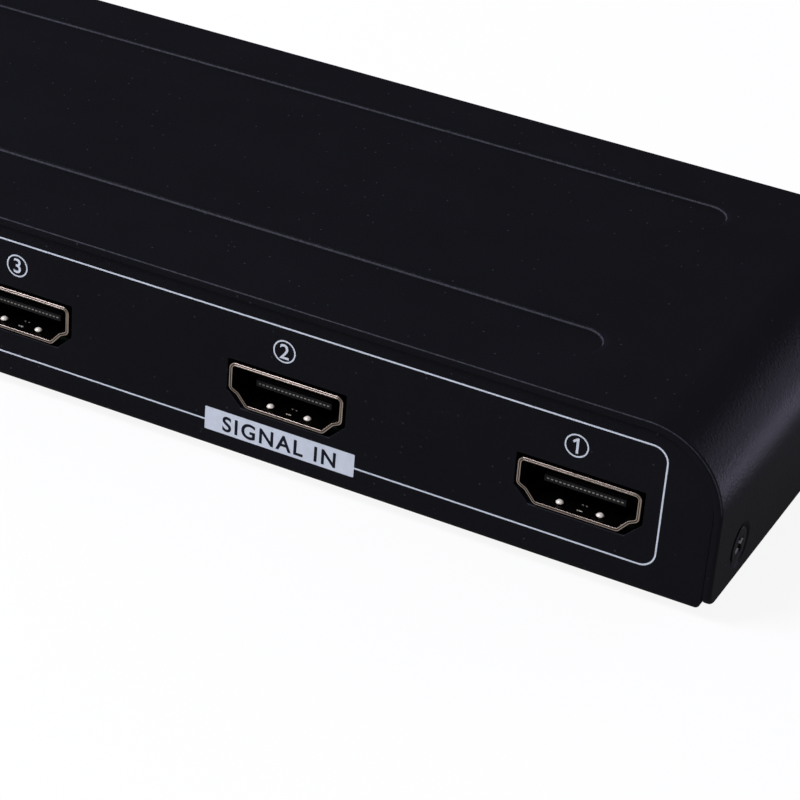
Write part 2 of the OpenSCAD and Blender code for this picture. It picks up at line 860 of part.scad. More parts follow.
module socket_insulator() {
    tip = tongue_tip_t / 2;
    mid = tongue_t / 2;
    color(black_plastic)
        difference() {
            union() {
                along_y(shell_d - block_d, shell_d)
                    mouth(-insulator_gap);
                translate([0, 0, tongue_rise])
                    along_x(-tongue_w / 2, tongue_w / 2)
                        polygon([[tongue_y, -tip], [tongue_y + tongue_taper, -mid], [shell_d - over, -mid],
                                 [shell_d - over, mid], [tongue_y + tongue_taper, mid], [tongue_y, tip]]);
            }
            contact_set(contact_gap);
        }
}

module socket_contacts() {
    color(gold)
        contact_set(0);
}

// Terminals of the power inlet where they go down through the board
module inlet_terminals(gap) {
    for (y = [inlet_d, spring_back_y])
        translate([-terminal_w / 2 - gap, y - gap, lead_low - inlet_z - gap])
            cube([terminal_w + 2 * gap, terminal_t + 2 * gap, inlet_axis_h + board_t + lead_out + gap]);
}

// Bowed spring contact of the power inlet, seen from the side
module inlet_spring_side() {
    crest = (spring_front_y + spring_back_y) / 2;
    polygon([
        [spring_front_y, spring_low], [crest, spring_low + spring_rise], [spring_back_y, spring_low],
        [spring_back_y + terminal_t, spring_low], [spring_back_y + terminal_t, spring_low + terminal_t],
        [spring_back_y, spring_low + terminal_t], [crest, spring_low + spring_rise + terminal_t],
        [spring_front_y, spring_low + terminal_t]
    ]);
}

module power_inlet_housing() {
    channel_w = terminal_w + 2 * spring_gap;
    color(black_plastic)
        difference() {
            union() {
                translate([-inlet_w / 2, inlet_front, -inlet_axis_h])
                    cube([inlet_w, inlet_d - inlet_front, inlet_h]);
                along_y(0, inlet_front + over)
                    circle(nose_r);
            }
            along_y(-over, inlet_bore_d)
                circle(inlet_bore_r);
            along_y(inlet_bore_d - over, inlet_d + over)
                circle(inlet_pin_r + stem_fit);
            translate([-channel_w / 2, spring_front_y - spring_gap, spring_low - spring_gap])
                cube([channel_w, spring_back_y + terminal_t - spring_front_y + 2 * spring_gap,
                      -spring_low + spring_gap]);
            translate([-channel_w / 2, spring_back_y - spring_gap, -inlet_axis_h - over])
                cube([channel_w, terminal_t + 2 * spring_gap, inlet_axis_h]);
        }
}

module power_inlet_pin() {
    color(tin) {
        translate([0, inlet_pin_y, 0])
            rotate([-90, 0, 0]) {
                cylinder(h = inlet_pin_taper, r1 = inlet_pin_r - inlet_pin_taper / 2, r2 = inlet_pin_r);
                translate([0, 0, inlet_pin_taper])
                    cylinder(h = inlet_d - inlet_pin_y - inlet_pin_taper, r = inlet_pin_r);
            }
        translate([-terminal_w / 2, inlet_d, lead_low - inlet_z])
            cube([terminal_w, terminal_t, inlet_z - lead_low + inlet_pin_r]);
    }
}

module power_inlet_spring() {
    color(tin) {
        along_x(-terminal_w / 2, terminal_w / 2)
            inlet_spring_side();
        translate([-terminal_w / 2, spring_back_y, lead_low - inlet_z])
            cube([terminal_w, terminal_t, spring_low + inlet_z - lead_low + terminal_t / 2]);
    }
}

module select_button() {
    tip = front_y + button_out;
    color("#2b2c30")
        translate([button_x, 0, control_z])
            round_y()
                polygon(concat(
                    [[0, stem_tip], [stem_r + stem_fit, stem_tip], [stem_r + stem_fit, flange_y],
                     [button_r + button_flange_w, flange_y],
                     [button_r + button_flange_w, flange_y + button_flange_t],
                     [button_r, flange_y + button_flange_t]],
                    arc([button_r - button_round, tip - button_round], button_round, 0, 90),
                    [[0, tip]]
                ));
}

module switch_stem() {
    color("#d8d4c8")
        translate([button_x, 0, control_z])
            round_y()
                polygon([[0, nub_y], [nub_r, nub_y], [nub_r, collar_y], [stem_r + collar_w, collar_y],
                         [stem_r + collar_w, collar_y + collar_t], [stem_r, collar_y + collar_t],
                         [stem_r, stem_tip - stem_fit], [0, stem_tip - stem_fit]]);
}

module switch_body() {
    color(black_plastic)
        difference() {
            translate([button_x - switch_w / 2, switch_y - switch_d, board_top])
                cube([switch_w, switch_d, switch_h]);
            translate([button_x, 0, control_z]) {
                along_y(cavity_back, cavity_y)
                    circle(cavity_r);
                along_y(cavity_y - over / 2, switch_y + over)
                    circle(stem_r + stem_gap);
            }
        }
}

module switch_dome() {
    half_angle = asin(dome_r / dome_sphere_r);
    low = cavity_back + dome_h - dome_sphere_r;
    inner_angle = acos((dome_sphere_r - dome_h) / (dome_sphere_r - dome_t));
    color(tin)
        translate([button_x, 0, control_z])
            round_y()
                polygon(concat(
                    arc([0, low], dome_sphere_r, 90 - half_angle, 90),
                    arc([0, low], dome_sphere_r - dome_t, 90, 90 - inner_angle)
                ));
}

module switch_pin_places() {
    for (side = [-1, 1])
        translate([button_x + side * switch_pin_x, switch_pin_y, 0])
            children();
}

// Square lead down through the board from a given height
module straight_lead(top) {
    translate([-lead_t / 2, -lead_t / 2, lead_low])
        cube([lead_t, lead_t, top - lead_low]);
}

module switch_terminals() {
    color(tin)
        switch_pin_places()
            straight_lead(board_top);
}

module lamp(x, tint) {
    color(tint)
        translate([x, lamp_back, control_z])
            round_y()
                polygon(concat(
                    [[0, 0], [lamp_r + lamp_flange_w, 0], [lamp_r + lamp_flange_w, lamp_flange_t],
                     [lamp_r, lamp_flange_t]],
                    arc([0, lamp_l - lamp_r], lamp_r, 0, 90)
                ));
}

module power_lamp() {
    lamp(power_lamp_x, "#c9d6cf");
}

module input_lamp(i) {
    lamp(lamp_places[i], "#bcd0e6");
}

module lamp_lead_places() {
    for (x = lamp_places, side = [-1, 1])
        translate([x + side * lamp_lead_pitch / 2, lamp_back - lamp_lead_run, 0])
            children();
}

module lamp_leads() {
    color(tin)
        lamp_lead_places()
            along_x(-lead_t / 2, lead_t / 2)
                strip([[lamp_lead_run - lead_t / 2, control_z], [0, control_z], [0, lead_low + lead_t / 2]],
                      lead_t);
}

module remote_window() {
    color("#30151a")
        translate([window_x, 0, control_z])
            round_y()
                polygon([[0, front_in - window_flange_t],
                         [window_r + window_flange_w, front_in - window_flange_t],
                         [window_r + window_flange_w, front_in], [window_r, front_in],
                         [window_r, front_y], [window_r - window_out, front_y + window_out],
                         [0, front_y + window_out]]);
}

module remote_receiver() {
    color("#1d1a22") {
        translate([window_x - receiver_w / 2, receiver_front - receiver_d, board_top + receiver_seat])
            cube([receiver_w, receiver_d, receiver_h]);
        translate([window_x, 0, control_z])
            round_y()
                polygon(concat(
                    [[0, receiver_front - receiver_d / 2], [receiver_lens_r, receiver_front - receiver_d / 2]],
                    arc([0, receiver_front], receiver_lens_r, 0, 90)
                ));
    }
}

module receiver_lead_places() {
    for (i = [-1:1])
        translate([window_x + i * receiver_lead_pitch, receiver_mid_y, 0])
            children();
}

module remote_receiver_leads() {
    color(tin)
        receiver_lead_places()
            straight_lead(board_top + receiver_seat);
}

// Side of a moulded chip body, widest where its leads come out
module chip_side(w, h) {
    half = [[w / 2 - chip_draft, h], [w / 2, h / 2 + chip_lead_t], [w / 2, h / 2 - chip_lead_t],
            [w / 2 - chip_draft, 0]];
    polygon(concat(half, mirrored(half)));
}

// Moulded chip body that stands on the board
module chip_body(at, size) {
    color("#202124")
        translate([at[0], at[1], board_top + chip_lead_t])
            intersection() {
                along_x(-size[0] / 2, size[0] / 2)
                    chip_side(size[1], size[2]);
                along_y(-size[1] / 2, size[1] / 2)
                    chip_side(size[0], size[2]);
            }
}

// Chip body with a sunk dot beside its first lead
module dotted_chip(at, size) {
    corner = at + [chip_dot_inset - size[0] / 2, chip_dot_inset - size[1] / 2];
    difference() {
        chip_body(at, size);
        translate([corner[0], corner[1], board_top + chip_lead_t + size[2] - chip_dot_h])
            cylinder(h = chip_dot_h + over, r = chip_dot_r);
    }
}

// Row of bent leads along Y, on the side of a chip that faces +X
module lead_row(n, pitch, edge) {
    mid_z = board_top + chip_lead_t + chip_h / 2;
    foot_z = board_top + chip_lead_t / 2;
    bend = edge + chip_lead_l / 2;
    for (i = [0:n - 1])
        translate([0, (i - (n - 1) / 2) * pitch, 0])
            along_y(-chip_lead_w / 2, chip_lead_w / 2)
                strip([[edge + chip_lead_t / 2, mid_z], [bend, mid_z], [bend, foot_z],
                       [edge + chip_lead_l, foot_z]], chip_lead_t);
}

module switching_chip() {
    dotted_chip(switching_chip_at, [chip_w, chip_w, chip_h]);
}

module switching_chip_leads() {
    color(tin)
        translate([switching_chip_at[0], switching_chip_at[1], 0])
            for (turn = [0, 90, 180, 270])
                rotate(turn)
                    lead_row(chip_leads, chip_pitch, chip_w / 2);
}

module control_chip() {
    dotted_chip(control_chip_at, [control_l, control_w, chip_h]);
}

module control_chip_leads() {
    color(tin)
        translate([control_chip_at[0], control_chip_at[1], 0])
            for (turn = [90, 270])
                rotate(turn)
                    lead_row(control_leads, control_pitch, control_w / 2);
}

module power_regulator() {
    chip_body(regulator_at, regulator_size);
}

module power_regulator_leads() {
    edge = regulator_size[1] / 2;
    color(tin)
        translate([regulator_at[0], regulator_at[1], 0]) {
            rotate(90)
                lead_row(3, regulator_pitch, edge);
            translate([-regulator_tab_w / 2, -edge - chip_lead_l, board_top])
                cube([regulator_tab_w, edge + chip_lead_l, chip_lead_t]);
        }
}

module power_coil() {
    color("#3a3a3c")
        translate([coil_at[0], coil_at[1] - coil_w / 2, board_top])
            linear_extrude(coil_h)
                plate(coil_w, coil_w, coil_corner_r, coil_corner_r);
}

module can_places() {
    for (side = [-1, 1])
        translate([cans_at[0], cans_at[1] + side * can_pitch / 2, board_top])
            children();
}

module filter_capacitors() {
    color(tin)
        can_places()
            translate([0, 0, can_base_h])
                rotate_extrude()
                    polygon(concat(
                        [[0, 0], [can_r, 0], [can_r, can_crimp_z - can_crimp_w / 2],
                         [can_r - can_crimp_d, can_crimp_z], [can_r, can_crimp_z + can_crimp_w / 2]],
                        arc([can_r - can_round, can_h - can_round], can_round, 0, 90),
                        [[0, can_h]]
                    ));
}

module capacitor_bases() {
    half = [[can_r, -can_r], [can_r, can_r - can_base_cut], [can_r - can_base_cut, can_r]];
    color(black_plastic)
        can_places()
            linear_extrude(can_base_h)
                polygon(concat(half, mirrored(half)));
}

module crystal() {
    rim_l = crystal_l + 2 * crystal_rim_w;
    rim_w = crystal_w + 2 * crystal_rim_w;
    color(tin)
        translate([crystal_at[0], crystal_at[1], board_top]) {
            round_bar(rim_l, rim_w, crystal_rim_h);
            round_bar(crystal_l, crystal_w, crystal_h);
        }
}

// Bar along X with half-round ends
module round_bar(l, w, h) {
    linear_extrude(h) {
        square([l - w, w], center = true);
        for (side = [-1, 1])
            translate([side * (l - w) / 2, 0])
                circle(w / 2);
    }
}

module at_socket(i) {
    translate([slot_x(i), mouth_y, socket_z])
        children();
}

module at_inlet() {
    translate([slot_x(socket_n), mouth_y, inlet_z])
        children();
}

top_cover();
bottom_tray();
side_screws();
rubber_feet();
board_standoffs();
circuit_board();
board_screws();
for (i = [0:socket_n - 1]) {
    at_socket(i) socket_shell();
    at_socket(i) socket_insulator();
    at_socket(i) socket_contacts();
}
at_inlet() power_inlet_housing();
at_inlet() power_inlet_pin();
at_inlet() power_inlet_spring();
select_button();
switch_stem();
switch_body();
switch_dome();
switch_terminals();
power_lamp();
for (i = [1:3])
    input_lamp(i);
lamp_leads();
remote_window();
remote_receiver();
remote_receiver_leads();
switching_chip();
switching_chip_leads();
control_chip();
control_chip_leads();
power_regulator();
power_regulator_leads();
power_coil();
filter_capacitors();
capacitor_bases();
crystal();
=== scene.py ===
import math

import bpy
from mathutils import Matrix, Vector


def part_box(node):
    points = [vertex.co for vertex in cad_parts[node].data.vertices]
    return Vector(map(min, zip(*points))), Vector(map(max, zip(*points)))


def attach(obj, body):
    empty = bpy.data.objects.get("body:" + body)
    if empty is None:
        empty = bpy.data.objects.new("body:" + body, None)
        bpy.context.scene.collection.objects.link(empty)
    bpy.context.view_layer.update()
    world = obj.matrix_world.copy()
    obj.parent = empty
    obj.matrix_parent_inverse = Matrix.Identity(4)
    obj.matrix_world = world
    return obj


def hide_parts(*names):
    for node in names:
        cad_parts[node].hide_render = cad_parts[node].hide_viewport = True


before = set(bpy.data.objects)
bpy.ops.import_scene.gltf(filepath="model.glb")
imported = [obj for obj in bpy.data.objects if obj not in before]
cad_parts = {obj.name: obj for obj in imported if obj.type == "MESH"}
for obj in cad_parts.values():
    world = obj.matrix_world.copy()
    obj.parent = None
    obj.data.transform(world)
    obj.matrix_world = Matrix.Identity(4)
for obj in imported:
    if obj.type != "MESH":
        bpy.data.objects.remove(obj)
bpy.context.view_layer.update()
print("frame loaded:", len(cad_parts), "nodes")

millimetre = 0.001  # pieces are drawn in millimetres and brought to metres when they are finished
near = 0.002  # how close a point lies to a place that is picked, in millimetres
weld = 0.0005  # points this close are merged, in millimetres
clear = 1  # how far a cutter reaches past what it cuts, in millimetres
sharpAngle = 40  # degrees past which an edge counts as sharp
straight = 0.9  # least share of a face's direction along an axis for it to face that way
turnedSteps = {"tiny": 32, "small": 48, "middling": 64, "large": 96}  # faces round a turned piece
noiseLow, noiseHigh = 0.3, 0.7  # most of a noise pattern's values lie between these
xAxis = Vector((1, 0, 0))
yAxis = Vector((0, 1, 0))
zAxis = Vector((0, 0, 1))
origin = Vector((0, 0, 0))


# Hands: selecting, drawing, cutting and finishing

def setMode(mode):
    bpy.ops.object.mode_set(mode=mode)


def applyTransform():
    bpy.ops.object.transform_apply(location=True, rotation=True, scale=True)


def pull(reach):
    # moves what is picked, with new sides behind it
    bpy.ops.mesh.extrude_region_move(TRANSFORM_OT_translate={"value": reach})


def activate(*pieces):
    if bpy.context.mode != "OBJECT":
        setMode("OBJECT")
    bpy.ops.object.select_all(action="DESELECT")
    for piece in pieces:
        piece.select_set(True)
    if pieces:
        bpy.context.view_layer.objects.active = pieces[0]


def pick(piece, kind, test):
    # selects the edges or faces whose corners pass the test, and stays in edit mode
    activate(piece)
    setMode("EDIT")
    bpy.ops.mesh.select_mode(type=kind)
    bpy.ops.mesh.select_all(action="DESELECT")
    setMode("OBJECT")
    mesh = piece.data
    parts = {"EDGE": mesh.edges, "FACE": mesh.polygons}[kind]
    for part in parts:
        part.select = test([mesh.vertices[index].co for index in part.vertices])
    setMode("EDIT")


def allNear(corners, axis, value):
    return all(abs(corner[axis] - value) < near for corner in corners)


def faceOutwards():
    bpy.ops.mesh.select_all(action="SELECT")
    bpy.ops.mesh.remove_doubles(threshold=weld)
    bpy.ops.mesh.normals_make_consistent(inside=False)
    setMode("OBJECT")


def drawOutline(name, points, filled=True):
    # a plane collapsed to one point, then walked along the outline
    activate()
    bpy.ops.mesh.primitive_plane_add(size=1)
    piece = bpy.context.object
    piece.name = name
    setMode("EDIT")
    bpy.ops.mesh.select_mode(type="VERT")
    bpy.ops.mesh.merge(type="CENTER")
    bpy.ops.transform.translate(value=points[0])
    for start, end in zip(points, points[1:]):
        bpy.ops.mesh.extrude_vertices_move(TRANSFORM_OT_translate={"value": end - start})
    bpy.ops.mesh.select_all(action="SELECT")
    if filled:
        bpy.ops.mesh.edge_face_add()
    return piece


def drawPrism(name, points, reach):
    piece = drawOutline(name, points)
    pull(reach)
    faceOutwards()
    return piece


def rectangle(left, low, right, high):
    return [(left, low), (right, low), (right, high), (left, high)]


def atHeight(outline, z):
    return [Vector((x, y, z)) for x, y in outline]


def onWall(outline, y, x=0, z=0):
    return [Vector((x + point[0], y, z + point[1])) for point in outline]


def drawBlock(name, low, high):
    points = atHeight(rectangle(low[0], low[1], high[0], high[1]), low[2])
    return drawPrism(name, points, zAxis * (high[2] - low[2]))


def revolve(name, profile, place, axis, size):
    # profile of radius and height, spun round an axis through place
    across = axis.orthogonal().normalized()
    points = [place + across * radius + axis * height for radius, height in profile]
    piece = drawOutline(name, points, filled=False)
    bpy.ops.mesh.spin(steps=turnedSteps[size], angle=math.tau, center=place, axis=axis)
    faceOutwards()
    return piece


def joinPieces(name, pieces):
    activate(*pieces)
    bpy.ops.object.join()
    pieces[0].name = name
    return pieces[0]


def copyPiece(piece, name, place, turn=(0, 0, 0)):
    activate(piece)
    bpy.ops.object.duplicate()
    twin = bpy.context.object
    twin.name = name
    twin.rotation_euler = turn
    twin.location = place
    applyTransform()
    return twin


def movePiece(piece, name, place):
    moved = copyPiece(piece, name, place)
    bpy.data.objects.remove(piece)
    return moved


def shapeWith(piece, kind, **settings):
    activate(piece)
    modifier = piece.modifiers.new(kind.lower(), kind)
    for name, value in settings.items():
        setattr(modifier, name, value)
    bpy.ops.object.modifier_apply(modifier=modifier.name)


def combine(piece, other, operation):
    shapeWith(piece, "BOOLEAN", operation=operation, solver="EXACT", object=other)
    bpy.data.objects.remove(other)


def softenEdges(piece, width, segments=3, clamp=True):
    shapeWith(
        piece, "BEVEL", width=width, segments=segments, limit_method="ANGLE",
        angle_limit=math.radians(sharpAngle), use_clamp_overlap=clamp,
    )


def roundPicked(width, segments):
    # rounds the edges that are picked, and leaves edit mode
    bpy.ops.mesh.bevel(offset=width, segments=segments, affect="EDGES", clamp_overlap=False)
    setMode("OBJECT")


def bendSheet(sheet, way, flat, far, bendZ, end, settings):
    # bends both edges of a flat sheet a quarter turn, runs the walls on, and gives the sheet its thickness
    for side in (-1, 1):
        centre = [0, 0, bendZ]
        centre[way] = side * flat
        turn = [0, 0, 0]
        turn[1 - way] = -side
        pick(sheet, "EDGE", lambda corners: allNear(corners, way, side * flat))
        bpy.ops.mesh.spin(steps=settings["bendSteps"], angle=math.pi / 2, center=centre, axis=turn)
        pick(sheet, "EDGE", lambda corners: (
            allNear(corners, way, side * far) and allNear(corners, 2, bendZ)))
        bpy.ops.mesh.extrude_edges_move(TRANSFORM_OT_translate={"value": (0, 0, end - bendZ)})
    faceOutwards()
    shapeWith(sheet, "SOLIDIFY", thickness=settings["sheet"], offset=-1, use_even_offset=True)


def finishPiece(piece, material, body, nodes=(), smooth=sharpAngle):
    activate(piece)
    piece.scale = (millimetre,) * 3
    applyTransform()
    bpy.ops.object.shade_smooth_by_angle(angle=math.radians(smooth))
    shapeWith(piece, "WEIGHTED_NORMAL", keep_sharp=True)
    piece.data.materials.clear()
    piece.data.materials.append(material)
    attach(piece, body)
    if nodes:
        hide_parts(*nodes)
    print("made", piece.name, "with", len(piece.data.polygons), "faces")


def coatFaces(piece, material, test):
    # a second finish on the faces whose middle, in millimetres, and outward direction pass the test
    piece.data.materials.append(material)
    last = len(piece.data.materials) - 1
    for face in piece.data.polygons:
        if test(face.center / millimetre, face.normal):
            face.material_index = last


def arcPoints(middle, radius, start, end, steps):
    # degrees from start to end, as pairs
    turns = [math.radians(start + (end - start) * step / steps) for step in range(steps + 1)]
    return [(middle[0] + radius * math.cos(turn), middle[1] + radius * math.sin(turn)) for turn in turns]


def cornerSides(corners, index):
    # a corner of a flat outline, and the directions from it to the last corner and the next one
    here = Vector(corners[index])
    toLast = (Vector(corners[index - 1]) - here).normalized()
    toNext = (Vector(corners[(index + 1) % len(corners)]) - here).normalized()
    return here, toLast, toNext


def roundCorners(corners, radii, steps=6):
    # each corner of a flat outline becomes an arc that meets its two sides
    outline = []
    for index, radius in enumerate(radii):
        here, toLast, toNext = cornerSides(corners, index)
        if radius == 0:
            outline.append(here)
            continue
        half = toLast.angle(toNext) / 2
        middle = here + (toLast + toNext).normalized() * radius / math.sin(half)
        start = here + toLast * radius / math.tan(half) - middle
        end = here + toNext * radius / math.tan(half) - middle
        side = 1 if start.cross(end) > 0 else -1
        for step in range(steps + 1):
            turn = Matrix.Rotation(side * (math.pi - 2 * half) * step / steps, 2)
            outline.append(middle + turn @ start)
    return outline


def mirrored(corners):
    return corners + [(-x, z) for x, z in reversed(corners)]


def nodeBox(name):
    low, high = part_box(name)
    return low / millimetre, high / millimetre


# Finishes

def linear(hexColour):
    parts = [int(hexColour[at:at + 2], 16) / 255 for at in (1, 3, 5)]
    return [part / 12.92 if part <= 0.04045 else ((part + 0.055) / 1.055) ** 2.4 for part in parts] + [1]


def perMetre(size):
    # how often a pattern of that size in millimetres repeats in a metre
    return 1 / (size * millimetre)


def addNode(tree, kind, settings=None, links=None):
    node = tree.nodes.new("ShaderNode" + kind)
    for name, value in (settings or {}).items():
        if isinstance(name, int) or name in node.inputs:
            node.inputs[name].default_value = value
        else:
            setattr(node, name, value)
    for name, source in (links or {}).items():
        tree.links.new(source, node.inputs[name])
    return node


def startMaterial(name, shader):
    material = bpy.data.materials.new(name)
    material.use_nodes = True
    surface = material.node_tree.nodes["Principled BSDF"]
    for socket, value in shader.items():
        surface.inputs[socket].default_value = value
    return material, material.node_tree, surface


def addSpecks(tree, place, tone, specks):
    # a share of evenly spread points carries a dot of dust
    spacing, radius, some, dust = specks
    points = addNode(tree, "TexVoronoi", {"Scale": perMetre(spacing)}, {"Vector": place})
    lot = addNode(tree, "SeparateColor", {}, {0: points.outputs["Color"]})
    close = addNode(
        tree, "Math", {"operation": "LESS_THAN", 1: radius / spacing},
        {0: points.outputs["Distance"]},
    )
    chosen = addNode(tree, "Math", {"operation": "LESS_THAN", 1: some}, {0: lot.outputs[0]})
    dotted = addNode(
        tree, "Math", {"operation": "MULTIPLY"}, {0: close.outputs[0], 1: chosen.outputs[0]}
    )
    return addNode(
        tree, "Mix", {"data_type": "RGBA", 7: linear(dust)},
        {0: dotted.outputs[0], 6: tone.outputs[2]},
    )


def addFade(tree, place, tone, fade):
    # the tones give way to another below a height
    low, high, under = fade
    height = addNode(tree, "SeparateXYZ", {}, {0: place}).outputs["Z"]
    share = addNode(
        tree, "MapRange", {"From Min": low * millimetre, "From Max": high * millimetre},
        {"Value": height},
    )
    return addNode(
        tree, "Mix", {"data_type": "RGBA", 6: linear(under)},
        {0: share.outputs[0], 7: tone.outputs[2]},
    )


def grainMaterial(name, shader, tones, patch, grain, rough, relief, stretch=None, specks=None, fade=None):
    # two tones in slow patches, a roughness that wanders, and a fine relief, with sizes in millimetres
    material, tree, surface = startMaterial(name, shader)
    place = addNode(tree, "TexCoord").outputs["Object"]
    if stretch:
        place = addNode(tree, "Mapping", {"Scale": stretch}, {"Vector": place}).outputs[0]
    slow = addNode(tree, "TexNoise", {"Scale": perMetre(patch), "Detail": 3}, {"Vector": place})
    fine = addNode(tree, "TexNoise", {"Scale": perMetre(grain), "Detail": 2}, {"Vector": place})
    first, second = (linear(tone) for tone in tones)
    tone = addNode(tree, "Mix", {"data_type": "RGBA", 6: first, 7: second}, {0: slow.outputs[0]})
    gloss = addNode(
        tree, "MapRange",
        {"From Min": noiseLow, "From Max": noiseHigh, "To Min": rough[0], "To Max": rough[1]},
        {"Value": fine.outputs[0]},
    )
    bump = addNode(
        tree, "Bump", {"Strength": 1, "Distance": relief * millimetre}, {"Height": fine.outputs[0]}
    )
    if specks:
        tone = addSpecks(tree, place, tone, specks)
    if fade:
        tone = addFade(tree, place, tone, fade)
    tree.links.new(tone.outputs[2], surface.inputs["Base Color"])
    tree.links.new(gloss.outputs[0], surface.inputs["Roughness"])
    for socket in ("Normal", "Coat Normal"):
        tree.links.new(bump.outputs[0], surface.inputs[socket])
    return material


def shine(index, level):
    # a smooth surface's own shine, from its refractive index and a share of what that gives
    return {"IOR": index, "Specular IOR Level": level}


def dullPaint(sheen, sheenRoughness):
    # flat paint with no shine of its own, under a thin film that has some
    return {**shine(1.5, 0), "Coat Weight": sheen, "Coat Roughness": sheenRoughness, "Coat IOR": 1.5}


# Polyester powder coat, sprayed dry and baked on steel: deep black, its sheen broken by a fine orange peel,
# with a few specks of dust
blackPowderCoat = grainMaterial(
    "blackPowderCoat", shader=dullPaint(0.045, 0.32),
    tones=("#101013", "#141417"), patch=9, grain=0.4, rough=(0.5, 0.6), relief=0.06,
    specks=(1.6, 0.11, 0.7, "#303037"),
)
# The same paint with a painted highlight along edges and groove walls: a broken grey line on the faces
# turned to the lamps, fading to the plain tone lower down the bends
paintedHighlightCoat = grainMaterial(
    "paintedHighlightCoat", shader=dullPaint(0.06, 0.38),
    tones=("#0a0a0d", "#48484f"), patch=0.5, grain=0.22, rough=(0.5, 0.6), relief=0.05,
    fade=(13.8, 15.8, "#131316"),
)
# The same paint round the cut-outs with a painted highlight on their lower edges: a dark grey rim, lighter
# than the panel
paintedRimHighlight = grainMaterial(
    "paintedRimHighlight", shader=dullPaint(0.06, 0.38),
    tones=("#232328", "#37373d"), patch=0.8, grain=0.22, rough=(0.5, 0.6), relief=0.05,
)
# Screen-printed ink: a thin flat film, cool white, faintly uneven where the mesh left it thin
whitePrintInk = grainMaterial(
    "whitePrintInk", shader=shine(1.5, 0.2),
    tones=("#c0c5ca", "#cfd4d8"), patch=0.9, grain=0.15, rough=(0.5, 0.65), relief=0.004,
)
# The same kind of ink in black, printed over the white
blackPrintInk = grainMaterial(
    "blackPrintInk", shader=shine(1.5, 0.05),
    tones=("#10121b", "#181a25"), patch=0.9, grain=0.15, rough=(0.5, 0.65), relief=0.004,
)
# Copper alloy strip, stamped and nickel plated: warm grey, bright along its round edges
platedStrip = grainMaterial(
    "platedStrip", shader={"Metallic": 1}, stretch=(1, 0.12, 1),
    tones=("#786c63", "#94877c"), patch=1.5, grain=0.12, rough=(0.24, 0.34), relief=0.002,
)
# The same strip with painted shade inside the mouth and on the sides of the lip: dull and almost black
paintedShadePlating = grainMaterial(
    "paintedShadePlating", shader={"Metallic": 1}, stretch=(1, 0.12, 1),
    tones=("#1c1917", "#26221f"), patch=1.5, grain=0.12, rough=(0.34, 0.48), relief=0.002,
)
# Bronze of the spring fingers' bumps, worn bare by plugs and painted near white as a highlight: pale dots;
# the lock slots' walls that face the mouth get it as painted glints
bareBronzeAndGlint = grainMaterial(
    "bareBronzeAndGlint", shader={"Metallic": 0.1},
    tones=("#f2e6d3", "#faf1e2"), patch=0.5, grain=0.1, rough=(0.28, 0.36), relief=0.001,
)
# Gold flash on phosphor bronze contacts, worn pale: a dull glint in the shade of the mouth
goldFlash = grainMaterial(
    "goldFlash", shader={"Metallic": 1},
    tones=("#827d77", "#98938c"), patch=0.6, grain=0.1, rough=(0.3, 0.42), relief=0.001,
)
# Liquid crystal polymer, moulded with glass fibre: near black, dull, with a fine mottle
fibrePolymer = grainMaterial(
    "fibrePolymer", shader=shine(1.6, 0.12),
    tones=("#19191b", "#212124"), patch=0.8, grain=0.12, rough=(0.5, 0.65), relief=0.003,
)
# ABS moulded in a spark-eroded tool: near black with an even satin texture
satinPlastic = grainMaterial(
    "satinPlastic", shader=shine(1.53, 0.4),
    tones=("#1b1b1e", "#222226"), patch=3, grain=0.16, rough=(0.38, 0.5), relief=0.006,
)
# Nylon of the inlet's housing: black and slightly waxy
inletNylon = grainMaterial(
    "inletNylon", shader=shine(1.53, 0.45),
    tones=("#141416", "#1b1b1e"), patch=2, grain=0.2, rough=(0.32, 0.45), relief=0.004,
)
# Steel screws with a baked black finish: as dark as the sheet round them, with painted glints in the recess
blackScrewCoat = grainMaterial(
    "blackScrewCoat", shader=dullPaint(0.06, 0.3),
    tones=("#0c0c0e", "#121214"), patch=0.8, grain=0.1, rough=(0.4, 0.5), relief=0.003,
)
# The same steel worn bare by the driver, put only on the recess walls that face up: a cold painted glint
bareSteelAndGlint = grainMaterial(
    "bareSteelAndGlint", shader={"Metallic": 1},
    tones=("#9a9aa0", "#b5b5ba"), patch=0.4, grain=0.1, rough=(0.25, 0.35), relief=0.002,
)
# Moulded synthetic rubber: soft dark grey, no shine, faint talc bloom
footRubber = grainMaterial(
    "footRubber", shader=shine(1.52, 0.25),
    tones=("#1d1d1f", "#2b2b2d"), patch=1.5, grain=0.25, rough=(0.7, 0.85), relief=0.01,
)
# Tin over brass and steel: pale grey metal, softly dulled
tinPlate = grainMaterial(
    "tinPlate", shader={"Metallic": 1},
    tones=("#b4b7bb", "#cfd1d3"), patch=1.2, grain=0.15, rough=(0.25, 0.4), relief=0.002,
)
# Diffused epoxy of the lamps: milky, lets light into it, smooth as its mould
lampEpoxy = grainMaterial(
    "lampEpoxy",
    shader={"IOR": 1.54, "Transmission Weight": 0.35, "Subsurface Weight": 0.2,
            "Subsurface Radius": (0.001, 0.001, 0.001)},
    tones=("#cfd9d6", "#e2e8e6"), patch=0.8, grain=0.3, rough=(0.12, 0.2), relief=0.0005,
)
# Acrylic that passes infrared only: polished, almost black, red in its depth
filterAcrylic = grainMaterial(
    "filterAcrylic", shader=shine(1.49, 0.5),
    tones=("#19070b", "#250a10"), patch=2, grain=0.4, rough=(0.04, 0.09), relief=0.0005,
)
# Glass-epoxy board under green solder resist: semi-gloss, a ripple of tracks under the lacquer
boardLacquer = grainMaterial(
    "boardLacquer", shader={"IOR": 1.5, "Coat Weight": 0.3, "Coat Roughness": 0.15}, stretch=(1, 0.25, 1),
    tones=("#0b2216", "#123220"), patch=1.6, grain=0.5, rough=(0.3, 0.45), relief=0.01,
)
# Moulding compound of the chips: matt black with a laser-etched dullness
chipCompound = grainMaterial(
    "chipCompound", shader=shine(1.55, 0.3),
    tones=("#1a1a1b", "#242425"), patch=1, grain=0.12, rough=(0.55, 0.7), relief=0.004,
)
